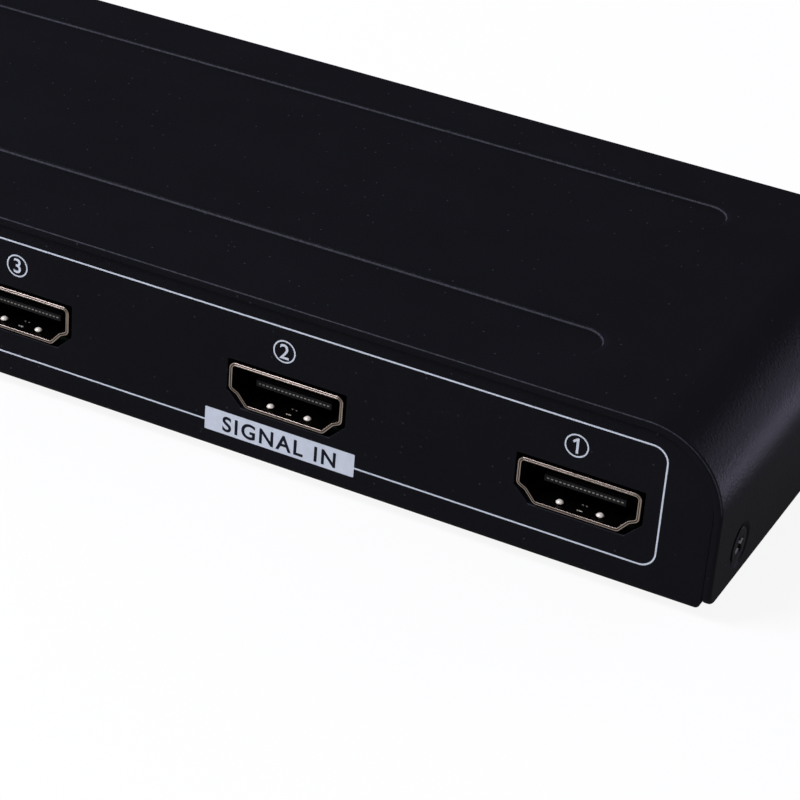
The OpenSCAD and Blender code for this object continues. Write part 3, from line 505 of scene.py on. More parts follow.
# Pressed ferrite of the coil: dark grey, granular
pressedFerrite = grainMaterial(
    "pressedFerrite", shader=shine(1.8, 0.3),
    tones=("#2a2b2d", "#3a3b3d"), patch=0.7, grain=0.18, rough=(0.5, 0.7), relief=0.01,
)
# Drawn aluminium cans: bright, with fine lines along the draw
drawnCan = grainMaterial(
    "drawnCan", shader={"Metallic": 1}, stretch=(1, 1, 0.1),
    tones=("#b9bcc0", "#d5d7d9"), patch=1, grain=0.12, rough=(0.22, 0.34), relief=0.002,
)
# Acetal of the switch's stem: ivory, waxy
ivoryAcetal = grainMaterial(
    "ivoryAcetal",
    shader={"IOR": 1.48, "Subsurface Weight": 0.1, "Subsurface Radius": (0.0005, 0.0005, 0.0005)},
    tones=("#cfcabb", "#dcd8cb"), patch=1.5, grain=0.2, rough=(0.35, 0.5), relief=0.002,
)
print("finishes mixed")


# Both sheets' outer corners, from the frame
coverLow, coverHigh = nodeBox("top_cover")
trayLow, trayHigh = nodeBox("bottom_tray")


# Side screws, and the holes that take them

sideScrew = {
    "shank": 1.5, "head": 2.15, "length": 4, "sink": 0.03, "gap": 0.05, "rimRound": 0.08, "tip": 0.3,
    "hole": 2.9, "dish": 0.4, "dishSlope": 1.6, "fromEdge": 8, "height": 6.4,
    "recessLength": 2.5, "recessWidth": 0.7, "recessDepth": 0.8, "recessTaper": 0.6, "recessRound": 0.04,
    # the first value: least upward share of a recess wall that gets the painted glint
    "glintUp": 0.8, "turns": (28, 71, 12, 50),
}


def sideScrewPlaces():
    # middle of each head's face, and the side that it faces
    x = coverHigh.x - sideScrew["sink"]
    y = coverHigh.y - sideScrew["fromEdge"]
    return [
        (Vector((side * x, end * y, sideScrew["height"])), side) for side in (1, -1) for end in (-1, 1)
    ]


def screwHoles(name):
    # flared cutters that stand out of both walls
    sizes = sideScrew
    shank = sizes["shank"] + sizes["gap"]
    above = sizes["sink"] + sizes["gap"]
    seat = sizes["shank"] - sizes["head"] - sizes["gap"]
    dishFoot = sizes["hole"] - sizes["dish"] * sizes["dishSlope"]
    dishRim = sizes["hole"] + sizes["gap"] * sizes["dishSlope"]
    profile = [
        (0, -sizes["length"]), (shank, -sizes["length"]), (shank, seat),
        (dishFoot, sizes["sink"] - sizes["dish"]), (dishRim, above), (0, above),
    ]
    cutters = [
        revolve(name, profile, place, xAxis * side, "small") for place, side in sideScrewPlaces()
    ]
    return joinPieces(name, cutters)


def inRecess(middle, out, places):
    # walls of a cross recess that face up: a painted glint
    sizes = sideScrew
    for place, side in places:
        away = middle - place
        isDeep = -sizes["recessDepth"] < side * away.x < -near
        if isDeep and math.hypot(away.y, away.z) < sizes["recessLength"] / 2:
            return out.z > sizes["glintUp"]
    return False


def makeSideScrews():
    sizes = sideScrew
    shank, head, rim = sizes["shank"], sizes["head"], sizes["rimRound"]
    end = -sizes["length"]
    profile = [
        (0, end), (shank - sizes["tip"], end), (shank, end + sizes["tip"]), (shank, shank - head),
        (head, -rim), (head - rim, 0), (0, 0),
    ]
    screw = revolve("screw", profile, origin, zAxis, "small")
    long, wide = sizes["recessLength"] / 2, sizes["recessWidth"] / 2
    arms = [(wide, long), (wide, wide), (long, wide)]
    cross = mirrored([(x, -y) for x, y in arms] + arms[::-1])
    recess = drawOutline("recess", atHeight(cross, rim))
    pull((0, 0, -sizes["recessDepth"]))
    taper = sizes["recessTaper"]
    bpy.ops.transform.resize(value=(taper, taper, 1), center_override=(0, 0, 0))
    faceOutwards()
    combine(screw, recess, "DIFFERENCE")
    softenEdges(screw, sizes["recessRound"], 2)
    places = sideScrewPlaces()
    twins = []
    for (place, side), turn in zip(places, sizes["turns"]):
        # first the recess's own angle, then the head out of the wall
        spun = copyPiece(screw, "sideScrew", origin, (0, 0, math.radians(turn)))
        twins.append(copyPiece(spun, "sideScrew", place, (0, side * math.pi / 2, 0)))
        bpy.data.objects.remove(spun)
    bpy.data.objects.remove(screw)
    screws = joinPieces("sideScrewSet", twins)
    finishPiece(screws, blackScrewCoat, "case", ["side_screws"])
    # painted glints on the recess walls that face up
    coatFaces(screws, bareSteelAndGlint, lambda middle, out: inRecess(middle, out, places))


# Cover: one sheet with two pressed grooves and two long bends

cover = {
    "sheet": 1, "bendRadius": 10, "bendSteps": 28, "cornerRadius": 2, "cornerSteps": 8,
    "edgeRound": 0.45, "edgeSteps": 5, "innerRound": 0.08, "smooth": 25,
    "grooveY": 19.2, "grooveHalfLength": 67.9, "grooveWidth": 7, "grooveDepth": 0.5, "grooveBend": 0.3,
    "grooveSteps": 6, "endSteps": 24,
    # where the painted highlight lines lie: how far down the bends, how steep, which way they face, and
    # where a groove's hook ends
    "highlightDrop": 9, "highlightSlope": 0.6, "highlightFacing": (0.6, 0.8), "hookEnd": 0.12,
}
# where the flat top and the straight walls end
coverFlatX = coverHigh.x - cover["bendRadius"]
coverBendZ = coverHigh.z - cover["bendRadius"]


def grooveProfile():
    # half-width and drop of a groove's wall, round over its edge and round again into its floor
    width, depth, steps = cover["grooveWidth"], cover["grooveDepth"], cover["grooveSteps"]
    floorRadius = cover["grooveBend"]
    edgeRadius = floorRadius + cover["sheet"]
    sumRadius = edgeRadius + floorRadius
    angle = math.acos(1 - depth / sumRadius)
    run = sumRadius * math.sin(angle)
    edge = (width + run) / 2
    floor = (width - run) / 2
    turns = [angle * step / steps for step in range(steps + 1)]
    over = [(edge - edgeRadius * math.sin(turn), edgeRadius * (1 - math.cos(turn))) for turn in turns]
    into = [
        (floor + floorRadius * math.sin(turn), depth - floorRadius * (1 - math.cos(turn)))
        for turn in reversed(turns)
    ]
    return over + into[1:]


def drawCoverTop():
    # the flat top with its two grooves pressed in
    profile = grooveProfile()
    radius = profile[0][0]
    reach = cover["grooveHalfLength"]
    top = rectangle(-coverFlatX, coverLow.y, coverFlatX, coverHigh.y)
    sheet = drawOutline("coverSheet", atHeight(top, coverHigh.z))
    bpy.ops.mesh.delete(type="ONLY_FACE")
    grooves = []
    for y in (-cover["grooveY"], cover["grooveY"]):
        ends = arcPoints((reach, y), radius, -90, 90, cover["endSteps"])
        ends += arcPoints((-reach, y), radius, 90, 270, cover["endSteps"])
        grooves.append(drawOutline("groove", atHeight(ends, coverHigh.z)))
    joinPieces("coverSheet", [sheet] + grooves)
    pick(sheet, "EDGE", lambda corners: True)
    bpy.ops.mesh.fill(use_beauty=True)
    faceOutwards()
    # the sheet round the grooves is in triangles, so only their own faces have more corners
    pick(sheet, "FACE", lambda corners: len(corners) > 4)
    for (width, drop), (nextWidth, nextDrop) in zip(profile, profile[1:]):
        bpy.ops.mesh.inset(thickness=width - nextWidth, depth=drop - nextDrop, use_even_offset=True)
    return sheet


def pastFlat(point):
    # how far a point lies out past the flat top, and up past the straight walls
    return Vector((max(abs(point.x) - coverFlatX, 0), max(point.z - coverBendZ, 0)))


def atCoverEnd(corners):
    return allNear(corners, 1, coverLow.y) or allNear(corners, 1, coverHigh.y)


def onCoverRim(corners):
    # front and back edges of the outer face, and the walls' lower edges
    foot = coverLow.z + cover["cornerRadius"] + near
    atRim = atCoverEnd(corners) or all(corner.z < foot for corner in corners)
    return atRim and all(abs(pastFlat(corner).length - cover["bendRadius"]) < near for corner in corners)


def onTopEdge(middle, out):
    # the middle strip of the rounding, outside, from the top down into the bends: a painted highlight
    least, most = cover["highlightFacing"]
    rise = pastFlat(middle)
    facesOut = out.x * math.copysign(rise.x, middle.x) + out.z * rise.y > 0
    atEdge = abs(middle.y) > coverHigh.y - cover["edgeRound"] and least < abs(out.y) < most
    return atEdge and facesOut and middle.z > coverHigh.z - cover["highlightDrop"]


def onGrooveWall(middle, out):
    # the steep strip of a groove's far wall, and round its end, facing the front: a painted highlight
    aside = abs(abs(middle.y) - cover["grooveY"])
    inGroove = near < coverHigh.z - middle.z < cover["grooveDepth"] and aside < cover["grooveWidth"]
    isSteep = out.z > 0 and math.hypot(out.x, out.y) > cover["highlightSlope"]
    return inGroove and isSteep and out.y < -cover["hookEnd"]


def isPaintedHighlight(middle, out):
    return onTopEdge(middle, out) or onGrooveWall(middle, out)


def makeCover():
    sheet = drawCoverTop()
    bendSheet(sheet, 0, coverFlatX, coverHigh.x, coverBendZ, coverLow.z, cover)
    pick(sheet, "EDGE", lambda corners: allNear(corners, 2, coverLow.z) and atCoverEnd(corners))
    bpy.ops.mesh.bevel(offset=cover["cornerRadius"], segments=cover["cornerSteps"], affect="EDGES")
    pick(sheet, "EDGE", onCoverRim)
    roundPicked(cover["edgeRound"], cover["edgeSteps"])
    softenEdges(sheet, cover["innerRound"])
    combine(sheet, screwHoles("coverHoles"), "DIFFERENCE")
    finishPiece(sheet, blackPowderCoat, "case", ["top_cover"], cover["smooth"])
    # painted highlight lines on the top edges and the grooves' far walls
    coatFaces(sheet, paintedHighlightCoat, isPaintedHighlight)


# Video sockets: a folded shell with a rolled mouth, spring fingers and solder legs

videoSocket = {
    "names": ("input_1", "input_2", "input_3", "output"), "firstX": 75.2, "pitch": 37.6,
    "mouthY": -31.9, "z": 10.925, "depth": 11, "sheet": 0.3, "lip": 0.25, "lipDepth": 0.4,
    "corners": [(7.05, 2.275), (7.05, -0.425), (6.15, -0.875), (4.95, -2.275)],
    "outerRadii": [0.8, 0.75, 0.3, 0.75],
    "outerBead": 0.11, "innerBead": 0.085, "beadSteps": 6, "fold": 0.03,
    "fingerWidth": 1.5, "fingerLength": 5, "fingerTip": 0.65, "fingerSlot": 0.2, "slotReach": 0.5,
    "fingerFloor": 2.5, "fingerRoof": 4,
    "bumpRadius": 0.52, "bumpHeight": 0.34, "bumpY": 1.25, "bumpSink": 0.2, "bumpFoot": 25, "bumpSteps": 10,
    "seamX": -0.12, "seamWidth": 0.07, "seamRise": 0.1,
    "lockSlots": [(-0.35, 0.4, 1.15), (-0.3, 0, 2.45), (0.25, 0.5, 2.45)], "lockSlotWidth": 0.2,
    "legWidth": 1.6, "legPlaces": (4.6, 9.4), "legLow": 5.9, "legRise": 0.6,
}


def socketX(index):
    return videoSocket["firstX"] - index * videoSocket["pitch"]


def offsetCorners(corners, grow):
    # every side of a flat outline moved out by the same distance
    moved = []
    for index in range(len(corners)):
        here, toLast, toNext = cornerSides(corners, index)
        lastOut = Vector((toLast.y, -toLast.x))
        nextOut = Vector((-toNext.y, toNext.x))
        out = lastOut + nextOut
        moved.append(here + out * grow * 2 / out.length_squared)
    return moved


def rimProfile():
    # distance in from the outer edge, and depth behind the mouth
    outer, inner, steps = videoSocket["outerBead"], videoSocket["innerBead"], videoSocket["beadSteps"]
    innerMiddle = 2 * outer + videoSocket["fold"] + inner
    first = arcPoints((outer, outer), outer, 180, 360, steps)
    second = arcPoints((innerMiddle, inner), inner, 180, 360, steps)
    return first + second


def makeSocketShell():
    sizes = videoSocket
    corners = offsetCorners(mirrored(sizes["corners"]), sizes["sheet"] + sizes["lip"])
    outline = roundCorners(corners, sizes["outerRadii"] + sizes["outerRadii"][::-1])
    beads = rimProfile()
    front = beads[0][1]
    shell = drawPrism("socketShell", onWall(outline, front), yAxis * (sizes["lipDepth"] - front))
    # behind the lip the shell narrows and runs to its open back
    pick(shell, "FACE", lambda corners: allNear(corners, 1, sizes["lipDepth"]))
    bpy.ops.mesh.inset(thickness=sizes["lip"], use_even_offset=True)
    back = (0, sizes["depth"] - sizes["lipDepth"], 0)
    pull(back)
    bpy.ops.mesh.inset(thickness=sizes["sheet"], use_even_offset=True)
    bpy.ops.mesh.delete(type="FACE")
    # the rim is the sheet folded back on itself: two round edges with a fine groove between them
    pick(shell, "FACE", lambda corners: allNear(corners, 1, front))
    for (width, y), (nextWidth, nextY) in zip(beads, beads[1:]):
        bpy.ops.mesh.inset(thickness=nextWidth - width, depth=y - nextY, use_even_offset=True)
    bpy.ops.mesh.delete(type="FACE")
    bpy.ops.mesh.select_mode(type="EDGE")
    bpy.ops.mesh.select_non_manifold()
    bpy.ops.mesh.bridge_edge_loops()
    faceOutwards()
    addFingers(shell)
    addSeam(shell)
    addLegs(shell)
    return shell


def addFingers(shell):
    sizes = videoSocket
    low, high = sizes["corners"][-1][1], sizes["corners"][0][1]
    wide, slot = sizes["fingerWidth"] / 2, sizes["fingerSlot"]
    tip, root = sizes["fingerTip"], sizes["fingerTip"] + sizes["fingerLength"]
    slotSides = mirrored([(wide + slot, tip - slot), (wide + slot, root), (wide, root), (wide, tip)])
    capMiddle = (0, sizes["bumpHeight"] - sizes["bumpRadius"])
    cap = arcPoints(capMiddle, sizes["bumpRadius"], sizes["bumpFoot"], 90, sizes["bumpSteps"])
    dome = [(0, -sizes["bumpSink"]), (cap[0][0], -sizes["bumpSink"])] + cap
    slots = []
    bumps = []
    for z, up, spread in ((low, 1, sizes["fingerFloor"]), (high, -1, sizes["fingerRoof"])):
        for x in (-spread, spread):
            points = [Vector((x + across, y, z - sizes["slotReach"])) for across, y in slotSides]
            slots.append(drawPrism("fingerSlot", points, zAxis * 2 * sizes["slotReach"]))
            place = Vector((x, sizes["bumpY"], z))
            bumps.append(revolve("fingerBump", dome, place, zAxis * up, "tiny"))
    combine(shell, joinPieces("fingerSlots", slots), "DIFFERENCE")
    combine(shell, joinPieces("fingerBumps", bumps), "UNION")


def addSeam(shell):
    # the strip's two ends meet under the mouth, locked by a tab with cross slots before and behind it
    sizes = videoSocket
    left, right = sizes["seamX"] - sizes["seamWidth"] / 2, sizes["seamX"] + sizes["seamWidth"] / 2
    floor = sizes["corners"][-1][1]
    under, over = floor - clear, floor + sizes["seamRise"]
    gap = drawBlock("seam", (left, -clear, under), (right, sizes["depth"] + clear, over))
    slots = [
        drawBlock("lockSlot", (slotLeft, y - sizes["lockSlotWidth"], under), (slotRight, y, over))
        for slotLeft, slotRight, y in sizes["lockSlots"]
    ]
    combine(shell, gap, "DIFFERENCE")
    combine(shell, joinPieces("lockSlots", slots), "DIFFERENCE")


def addLegs(shell):
    sizes = videoSocket
    inner = sizes["corners"][0][0]
    bottom, top = sizes["legLow"] - sizes["z"], sizes["corners"][1][1] + sizes["legRise"]
    half = sizes["legWidth"] / 2
    legs = []
    for side in (-1, 1):
        left, right = sorted((side * inner, side * (inner + sizes["sheet"])))
        for y in sizes["legPlaces"]:
            legs.append(drawBlock("leg", (left, y - half, bottom), (right, y + half, top)))
    combine(shell, joinPieces("socketLegs", legs), "UNION")


def behindRim(middle, out):
    # the inside of the shell, and the sides of its lip: painted shade
    sizes = videoSocket
    facesIn = middle.x * out.x + middle.z * out.z < 0
    return (middle.y > sizes["fold"] and facesIn) or sizes["outerBead"] - near < middle.y < sizes["lipDepth"]


def onBump(middle):
    # the round tops of the two fingers in the floor
    sizes = videoSocket
    floor = sizes["corners"][-1][1]
    aside = math.hypot(abs(middle.x) - sizes["fingerFloor"], middle.y - sizes["bumpY"])
    return aside < sizes["bumpRadius"] and floor + near < middle.z < floor + sizes["bumpHeight"]


def onLockWall(middle, out):
    # the walls of the lock's slots that face the mouth: painted glints
    return out.y < -straight and any(
        left < middle.x < right and abs(middle.y - y) < near for left, right, y in videoSocket["lockSlots"]
    )


def isBareOrGlint(middle, out):
    return onBump(middle) or onLockWall(middle, out)


def makeSockets():
    shell = makeSocketShell()
    for index, name in enumerate(videoSocket["names"]):
        place = Vector((socketX(index), videoSocket["mouthY"], videoSocket["z"]))
        twin = copyPiece(shell, name.replace("_", "") + "SocketShell", place)
        finishPiece(twin, platedStrip, "case", [name + "_shell"])
        # painted shade inside the shell and on the sides of its lip
        coatFaces(twin, paintedShadePlating, lambda middle, out: behindRim(middle - place, out))
        # bare bumps painted near white as a highlight, and painted glints on the lock slots' walls
        coatFaces(twin, bareBronzeAndGlint, lambda middle, out: isBareOrGlint(middle - place, out))
    bpy.data.objects.remove(shell)


# Power inlet: a moulded housing with a round nose, and its centre pin

powerInlet = {
    "x": -75.2, "z": 14.8, "mouthY": -31.9,
    "width": 9, "below": 6.5, "above": 4.5, "depth": 14, "front": 1.4,
    "nose": 3.9, "bore": 3, "boreDepth": 10, "mouthChamfer": 0.35, "edgeRound": 0.25, "edgeSteps": 4,
    "pin": 1.05, "pinTip": 1.2, "pinTaper": 0.5, "pinSteps": 6, "pinGap": 0.02, "pinBack": 0.2,
    "channel": 2.5, "channelFront": 2.75, "channelBack": 9.55, "channelLow": -4.05,
    "slotFront": 8.55, "slotTop": -1, "blade": 2, "bladeThick": 0.5, "bladeLow": -8.9,
}


def makeInletHousing():
    sizes = powerInlet
    half, depth, below, edge = sizes["width"] / 2, sizes["depth"], sizes["below"], sizes["edgeRound"]
    housing = drawBlock("inletHousing", (-half, sizes["front"], -below), (half, depth, sizes["above"]))
    softenEdges(housing, edge)
    noseBack = sizes["front"] + clear
    noseEdge = arcPoints((sizes["nose"] - edge, edge), edge, 0, -90, sizes["edgeSteps"])
    noseProfile = [(0, noseBack), (sizes["nose"], noseBack)] + noseEdge + [(0, 0)]
    combine(housing, revolve("nose", noseProfile, origin, yAxis, "large"), "UNION")
    bore, boreEnd = sizes["bore"], sizes["boreDepth"]
    mouth = bore + sizes["mouthChamfer"]
    boreProfile = [
        (0, -clear), (mouth, -clear), (mouth, 0),
        (bore, sizes["mouthChamfer"]), (bore, boreEnd), (0, boreEnd),
    ]
    pinHole = sizes["pin"] + sizes["pinGap"]
    pinFront, pinEnd = boreEnd - clear, depth + clear
    pinProfile = [(0, pinFront), (pinHole, pinFront), (pinHole, pinEnd), (0, pinEnd)]
    side, back = sizes["channel"] / 2, sizes["channelBack"]
    cuts = [
        revolve("bore", boreProfile, origin, yAxis, "large"),
        drawBlock("channel", (-side, sizes["channelFront"], sizes["channelLow"]), (side, back, 0)),
        drawBlock("slot", (-side, sizes["slotFront"], -below - clear), (side, back, sizes["slotTop"])),
        revolve("pinHole", pinProfile, origin, yAxis, "small"),
    ]
    for cut in cuts:
        combine(housing, cut, "DIFFERENCE")
    return housing


def makeInletPin():
    sizes = powerInlet
    radius, taper, depth, half = sizes["pin"], sizes["pinTaper"], sizes["depth"], sizes["blade"] / 2
    back = depth + sizes["pinBack"]
    tip = arcPoints((radius - taper, sizes["pinTip"] + taper), taper, -90, 0, sizes["pinSteps"])
    profile = [(0, sizes["pinTip"])] + tip + [(radius, back), (0, back)]
    pin = revolve("pin", profile, origin, yAxis, "small")
    bladeBack = depth + sizes["bladeThick"]
    blade = drawBlock("blade", (-half, depth, sizes["bladeLow"]), (half, bladeBack, radius))
    combine(pin, blade, "UNION")
    return pin


def makePowerInlet():
    place = Vector((powerInlet["x"], powerInlet["mouthY"], powerInlet["z"]))
    housing = movePiece(makeInletHousing(), "powerInletHousing", place)
    finishPiece(housing, inletNylon, "case", ["power_inlet_housing"])
    pin = movePiece(makeInletPin(), "powerInletPin", place)
    finishPiece(pin, tinPlate, "case", ["power_inlet_pin"])


# Front panel: select button, lamps and remote-control window

frontPanel = {
    "z": 12.7, "outerY": 31.7, "innerY": 30.7,
    "buttonX": -56.4, "windowX": 56.4, "powerLampX": 37.6, "lampPitch": 11,
    "lampHole": 1.6, "buttonHole": 3.8, "windowHole": 2.9,
}
selectButton = {
    "radius": 3.5, "tip": 33.1, "round": 0.5, "dish": 0.18, "steps": 8, "smooth": 50,
    "flange": 4.1, "flangeBack": 29.6, "flangeFront": 30.4, "stem": 1.72, "stemTip": 31.7,
}
lampLens = {
    "radius": 1.5, "length": 5.2, "out": 1, "domeSteps": 12,
    "flange": 1.9, "flangeThick": 1, "flangeRound": 0.12,
}
remoteWindow = {"radius": 2.8, "out": 0.3, "edgeSteps": 6, "flange": 3.6, "flangeThick": 0.6}


def lampPlaces():
    # node's name and place along the panel, with the second input's lamp in the middle
    inputs = [("input_lamp_%d" % number, (2 - number) * frontPanel["lampPitch"]) for number in (1, 2, 3)]
    return [("power_lamp", frontPanel["powerLampX"])] + inputs


def makeSelectButton():
    sizes = selectButton
    radius, tip, flange, steps = sizes["radius"], sizes["tip"], sizes["flange"], sizes["steps"]
    face = radius - sizes["round"]
    profile = [
        (0, sizes["stemTip"]), (sizes["stem"], sizes["stemTip"]), (sizes["stem"], sizes["flangeBack"]),
        (flange, sizes["flangeBack"]), (flange, sizes["flangeFront"]), (radius, sizes["flangeFront"]),
    ]
    profile += arcPoints((face, tip - sizes["round"]), sizes["round"], 0, 90, steps)
    for step in range(1, steps + 1):
        # the face dips to its middle for a fingertip
        share = step / steps
        profile.append((face * (1 - share), tip - sizes["dish"] * math.sin(math.pi / 2 * share) ** 2))
    place = Vector((frontPanel["buttonX"], 0, frontPanel["z"]))
    button = revolve("selectButtonCap", profile, place, yAxis, "large")
    finishPiece(button, satinPlastic, "select_button", ["select_button"], sizes["smooth"])


def makeLamps():
    sizes = lampLens
    radius, flange, edge = sizes["radius"], sizes["flange"], sizes["flangeRound"]
    back = frontPanel["outerY"] + sizes["out"] - sizes["length"]
    foot = back + sizes["flangeThick"]
    profile = [(0, back), (flange - edge, back), (flange, back + edge), (flange, foot), (radius, foot)]
    profile += arcPoints((0, back + sizes["length"] - radius), radius, 0, 90, sizes["domeSteps"])
    lamp = revolve("lamp", profile, zAxis * frontPanel["z"], yAxis, "small")
    for name, x in lampPlaces():
        twin = copyPiece(lamp, name.replace("_", "") + "Lens", (x, 0, 0))
        finishPiece(twin, lampEpoxy, "case", [name])
    bpy.data.objects.remove(lamp)


def makeRemoteWindow():
    sizes = remoteWindow
    radius, flange, out = sizes["radius"], sizes["flange"], sizes["out"]
    front, inside = frontPanel["outerY"], frontPanel["innerY"]
    back = inside - sizes["flangeThick"]
    profile = [(0, back), (flange, back), (flange, inside), (radius, inside)]
    profile += arcPoints((radius - out, front), out, 0, 90, sizes["edgeSteps"]) + [(0, front + out)]
    place = Vector((frontPanel["windowX"], 0, frontPanel["z"]))
    window = revolve("remoteWindowLens", profile, place, yAxis, "large")
    finishPiece(window, filterAcrylic, "case", ["remote_window"])


# Tray: floor and both panels bent from one sheet, with tabs for the side screws

tray = {
    "sheet": 1, "bendRadius": 1.3, "bendSteps": 10, "lowCorner": 1.7, "cornerSteps": 24,
    "topSeam": 0.03, "sideSeam": 0.1, "edgeRound": 0.06, "holeRound": 0.1, "holeSteps": 2,
    "tabWidth": 10, "tabTop": 10.5, "tabCorner": 2, "standoffHole": 2.2,
    "standoffs": [(56.4, -23.9), (-56.4, -23.9), (75.2, 23.9), (-75.2, 23.9)],
    "socketHole": [(7.9, 3.125), (7.9, -1.175), (5.95, -3.125)], "socketHoleRound": 0.12,
    # the last value: which way the faces turn that get the painted highlight
    "socketHoleSteps": 3, "inletHole": 4.05, "rimHighlightFacing": (0.3, 0.95),
}


def frontRounds():
    # place along the front panel, and radius, of each hole in it
    panel = frontPanel
    rounds = [(panel["buttonX"], panel["buttonHole"]), (panel["windowX"], panel["windowHole"])]
    return rounds + [(x, panel["lampHole"]) for name, x in lampPlaces()]


def frontHoles():
    # middle of each hole in the front panel, and a distance that takes in its edge
    return [(x, frontPanel["z"], radius + tray["edgeRound"]) for x, radius in frontRounds()]


def backHoles():
    # the same for the socket panel
    reach = tray["socketHole"][0][0] + tray["edgeRound"]
    holes = [(socketX(index), videoSocket["z"], reach) for index in range(len(videoSocket["names"]))]
    return holes + [(powerInlet["x"], powerInlet["z"], tray["inletHole"] + tray["edgeRound"])]


def byHole(points, holes):
    # whether all the points lie by the same hole
    return any(
        all(abs(point.x - x) < wide and abs(point.z - z) < wide for point in points) for x, z, wide in holes
    )


def onRimHighlight(middle, out):
    # lower edges of the socket panel's cut-outs, facing up and out: a painted highlight
    least, most = tray["rimHighlightFacing"]
    return out.z > least and least < -out.y < most and byHole([middle], backHoles())


def trayCutters():
    through = tray["sheet"] + 2 * clear
    backY, frontY = trayLow.y - clear, trayHigh.y - tray["sheet"] - clear
    corners = mirrored(tray["socketHole"])
    outline = roundCorners(corners, [tray["socketHoleRound"]] * len(corners), tray["socketHoleSteps"])
    cutters = []
    for index in range(len(videoSocket["names"])):
        points = onWall(outline, backY, socketX(index), videoSocket["z"])
        cutters.append(drawPrism("socketHole", points, yAxis * through))
    rounds = [((x, frontY, frontPanel["z"]), radius, yAxis) for x, radius in frontRounds()]
    rounds.append(((powerInlet["x"], backY, powerInlet["z"]), tray["inletHole"], yAxis))
    rounds += [((x, y, trayLow.z - clear), tray["standoffHole"], zAxis) for x, y in tray["standoffs"]]
    for place, radius, axis in rounds:
        profile = [(0, 0), (radius, 0), (radius, through), (0, through)]
        cutters.append(revolve("roundHole", profile, Vector(place), axis, "middling"))
    cutters.append(screwHoles("tabHoles"))
    return joinPieces("trayCutters", cutters)


def trayTabs():
    wide, corner = tray["tabWidth"] / 2, tray["tabCorner"]
    root = trayLow.z + tray["sheet"] / 2
    outline = roundCorners(rectangle(-wide, root, wide, tray["tabTop"]), [0, 0, corner, corner])
    tabs = []
    for place, side in sideScrewPlaces():
        points = [Vector((side * trayHigh.x, place.y + y, z)) for y, z in outline]
        tabs.append(drawPrism("tab", points, xAxis * -side * tray["sheet"]))
    return joinPieces("trayTabs", tabs)


def makeTray():
    # the panels reach up to a fine seam under the cover
    sideX = coverHigh.x - cover["sheet"] - tray["sideSeam"]
    topZ = coverHigh.z - cover["sheet"] - tray["topSeam"]
    flatY = trayHigh.y - tray["bendRadius"]
    sheet = drawOutline("traySheet", atHeight(rectangle(-sideX, -flatY, sideX, flatY), trayLow.z))
    bendSheet(sheet, 1, flatY, trayHigh.y, trayLow.z + tray["bendRadius"], topZ, tray)
    combine(sheet, trayTabs(), "UNION")
    lowCorner, topCorner = tray["lowCorner"], cover["bendRadius"] - cover["sheet"]
    radii = [lowCorner, lowCorner, topCorner, topCorner]
    outline = roundCorners(rectangle(-sideX, trayLow.z, sideX, topZ), radii, tray["cornerSteps"])
    through = yAxis * (trayHigh.y - trayLow.y + 2 * clear)
    combine(sheet, drawPrism("trayEnds", onWall(outline, trayLow.y - clear), through), "INTERSECT")
    softenEdges(sheet, tray["edgeRound"], 2, clamp=False)
    combine(sheet, trayCutters(), "DIFFERENCE")
    for y, holes in ((trayLow.y, backHoles()), (trayHigh.y, frontHoles())):
        pick(sheet, "EDGE", lambda ends: allNear(ends, 1, y) and byHole(ends, holes))
        roundPicked(tray["holeRound"], tray["holeSteps"])
    finishPiece(sheet, blackPowderCoat, "case", ["bottom_tray"])
    # a painted highlight on the cut-outs' lower edges
    coatFaces(sheet, paintedRimHighlight, onRimHighlight)


# Rubber feet

rubberFoot = {
    "radius": 5, "height": 1, "round": 0.35, "roundSteps": 6, "dimple": 3, "dimpleDepth": 0.2,
    "x": 77.3, "y": 21,
}


def makeFeet():
    sizes = rubberFoot
    radius, edge, dimple, deep = sizes["radius"], sizes["round"], sizes["dimple"], sizes["dimpleDepth"]
    profile = [(0, sizes["height"]), (radius, sizes["height"])]
    profile += arcPoints((radius - edge, edge), edge, 0, -90, sizes["roundSteps"])
    profile += [(dimple, 0), (dimple - deep, deep), (0, deep)]
    foot = revolve("foot", profile, origin, zAxis, "middling")
    places = [(side * sizes["x"], end * sizes["y"], 0) for side in (-1, 1) for end in (-1, 1)]
    feet = joinPieces("rubberFootSet", [copyPiece(foot, "rubberFoot", place) for place in places])
    bpy.data.objects.remove(foot)
    finishPiece(feet, footRubber, "case", ["rubber_feet"])


# Print on the socket panel: a frame line, numbered rings and a label with plain words

panelPrint = {
    "film": 0.02, "sink": 0.01, "smooth": 20,
    "left": -9.95, "right": 85.15, "low": 4.825, "high": 20.375,
    "line": 0.2, "corner": 1.9, "cornerSteps": 10,
    "label": (26.9, 3.545, 47.1, 6.625), "labelCorner": 0.12, "labelSteps": 3,
    "words": "SIGNAL IN", "wordsHeight": 2.1, "wordsDrop": 0.1, "wordsSpacing": 1.2, "bolder": 0.045,
    "ring": 1.48, "ringLine": 0.18, "ringSteps": 60, "ringRise": 6.32, "ringShift": (-0.85, -0.5, 0.1),
    "digitHeight": 1.95, "digitBolder": 0.015,
}
# upright stroke with a short flag, as shares of the digit's height
digitOne = [(0.12, -0.5), (0.12, 0.5), (0, 0.5), (-0.27, 0.28), (-0.2, 0.16), (-0.03, 0.29), (-0.03, -0.5)]


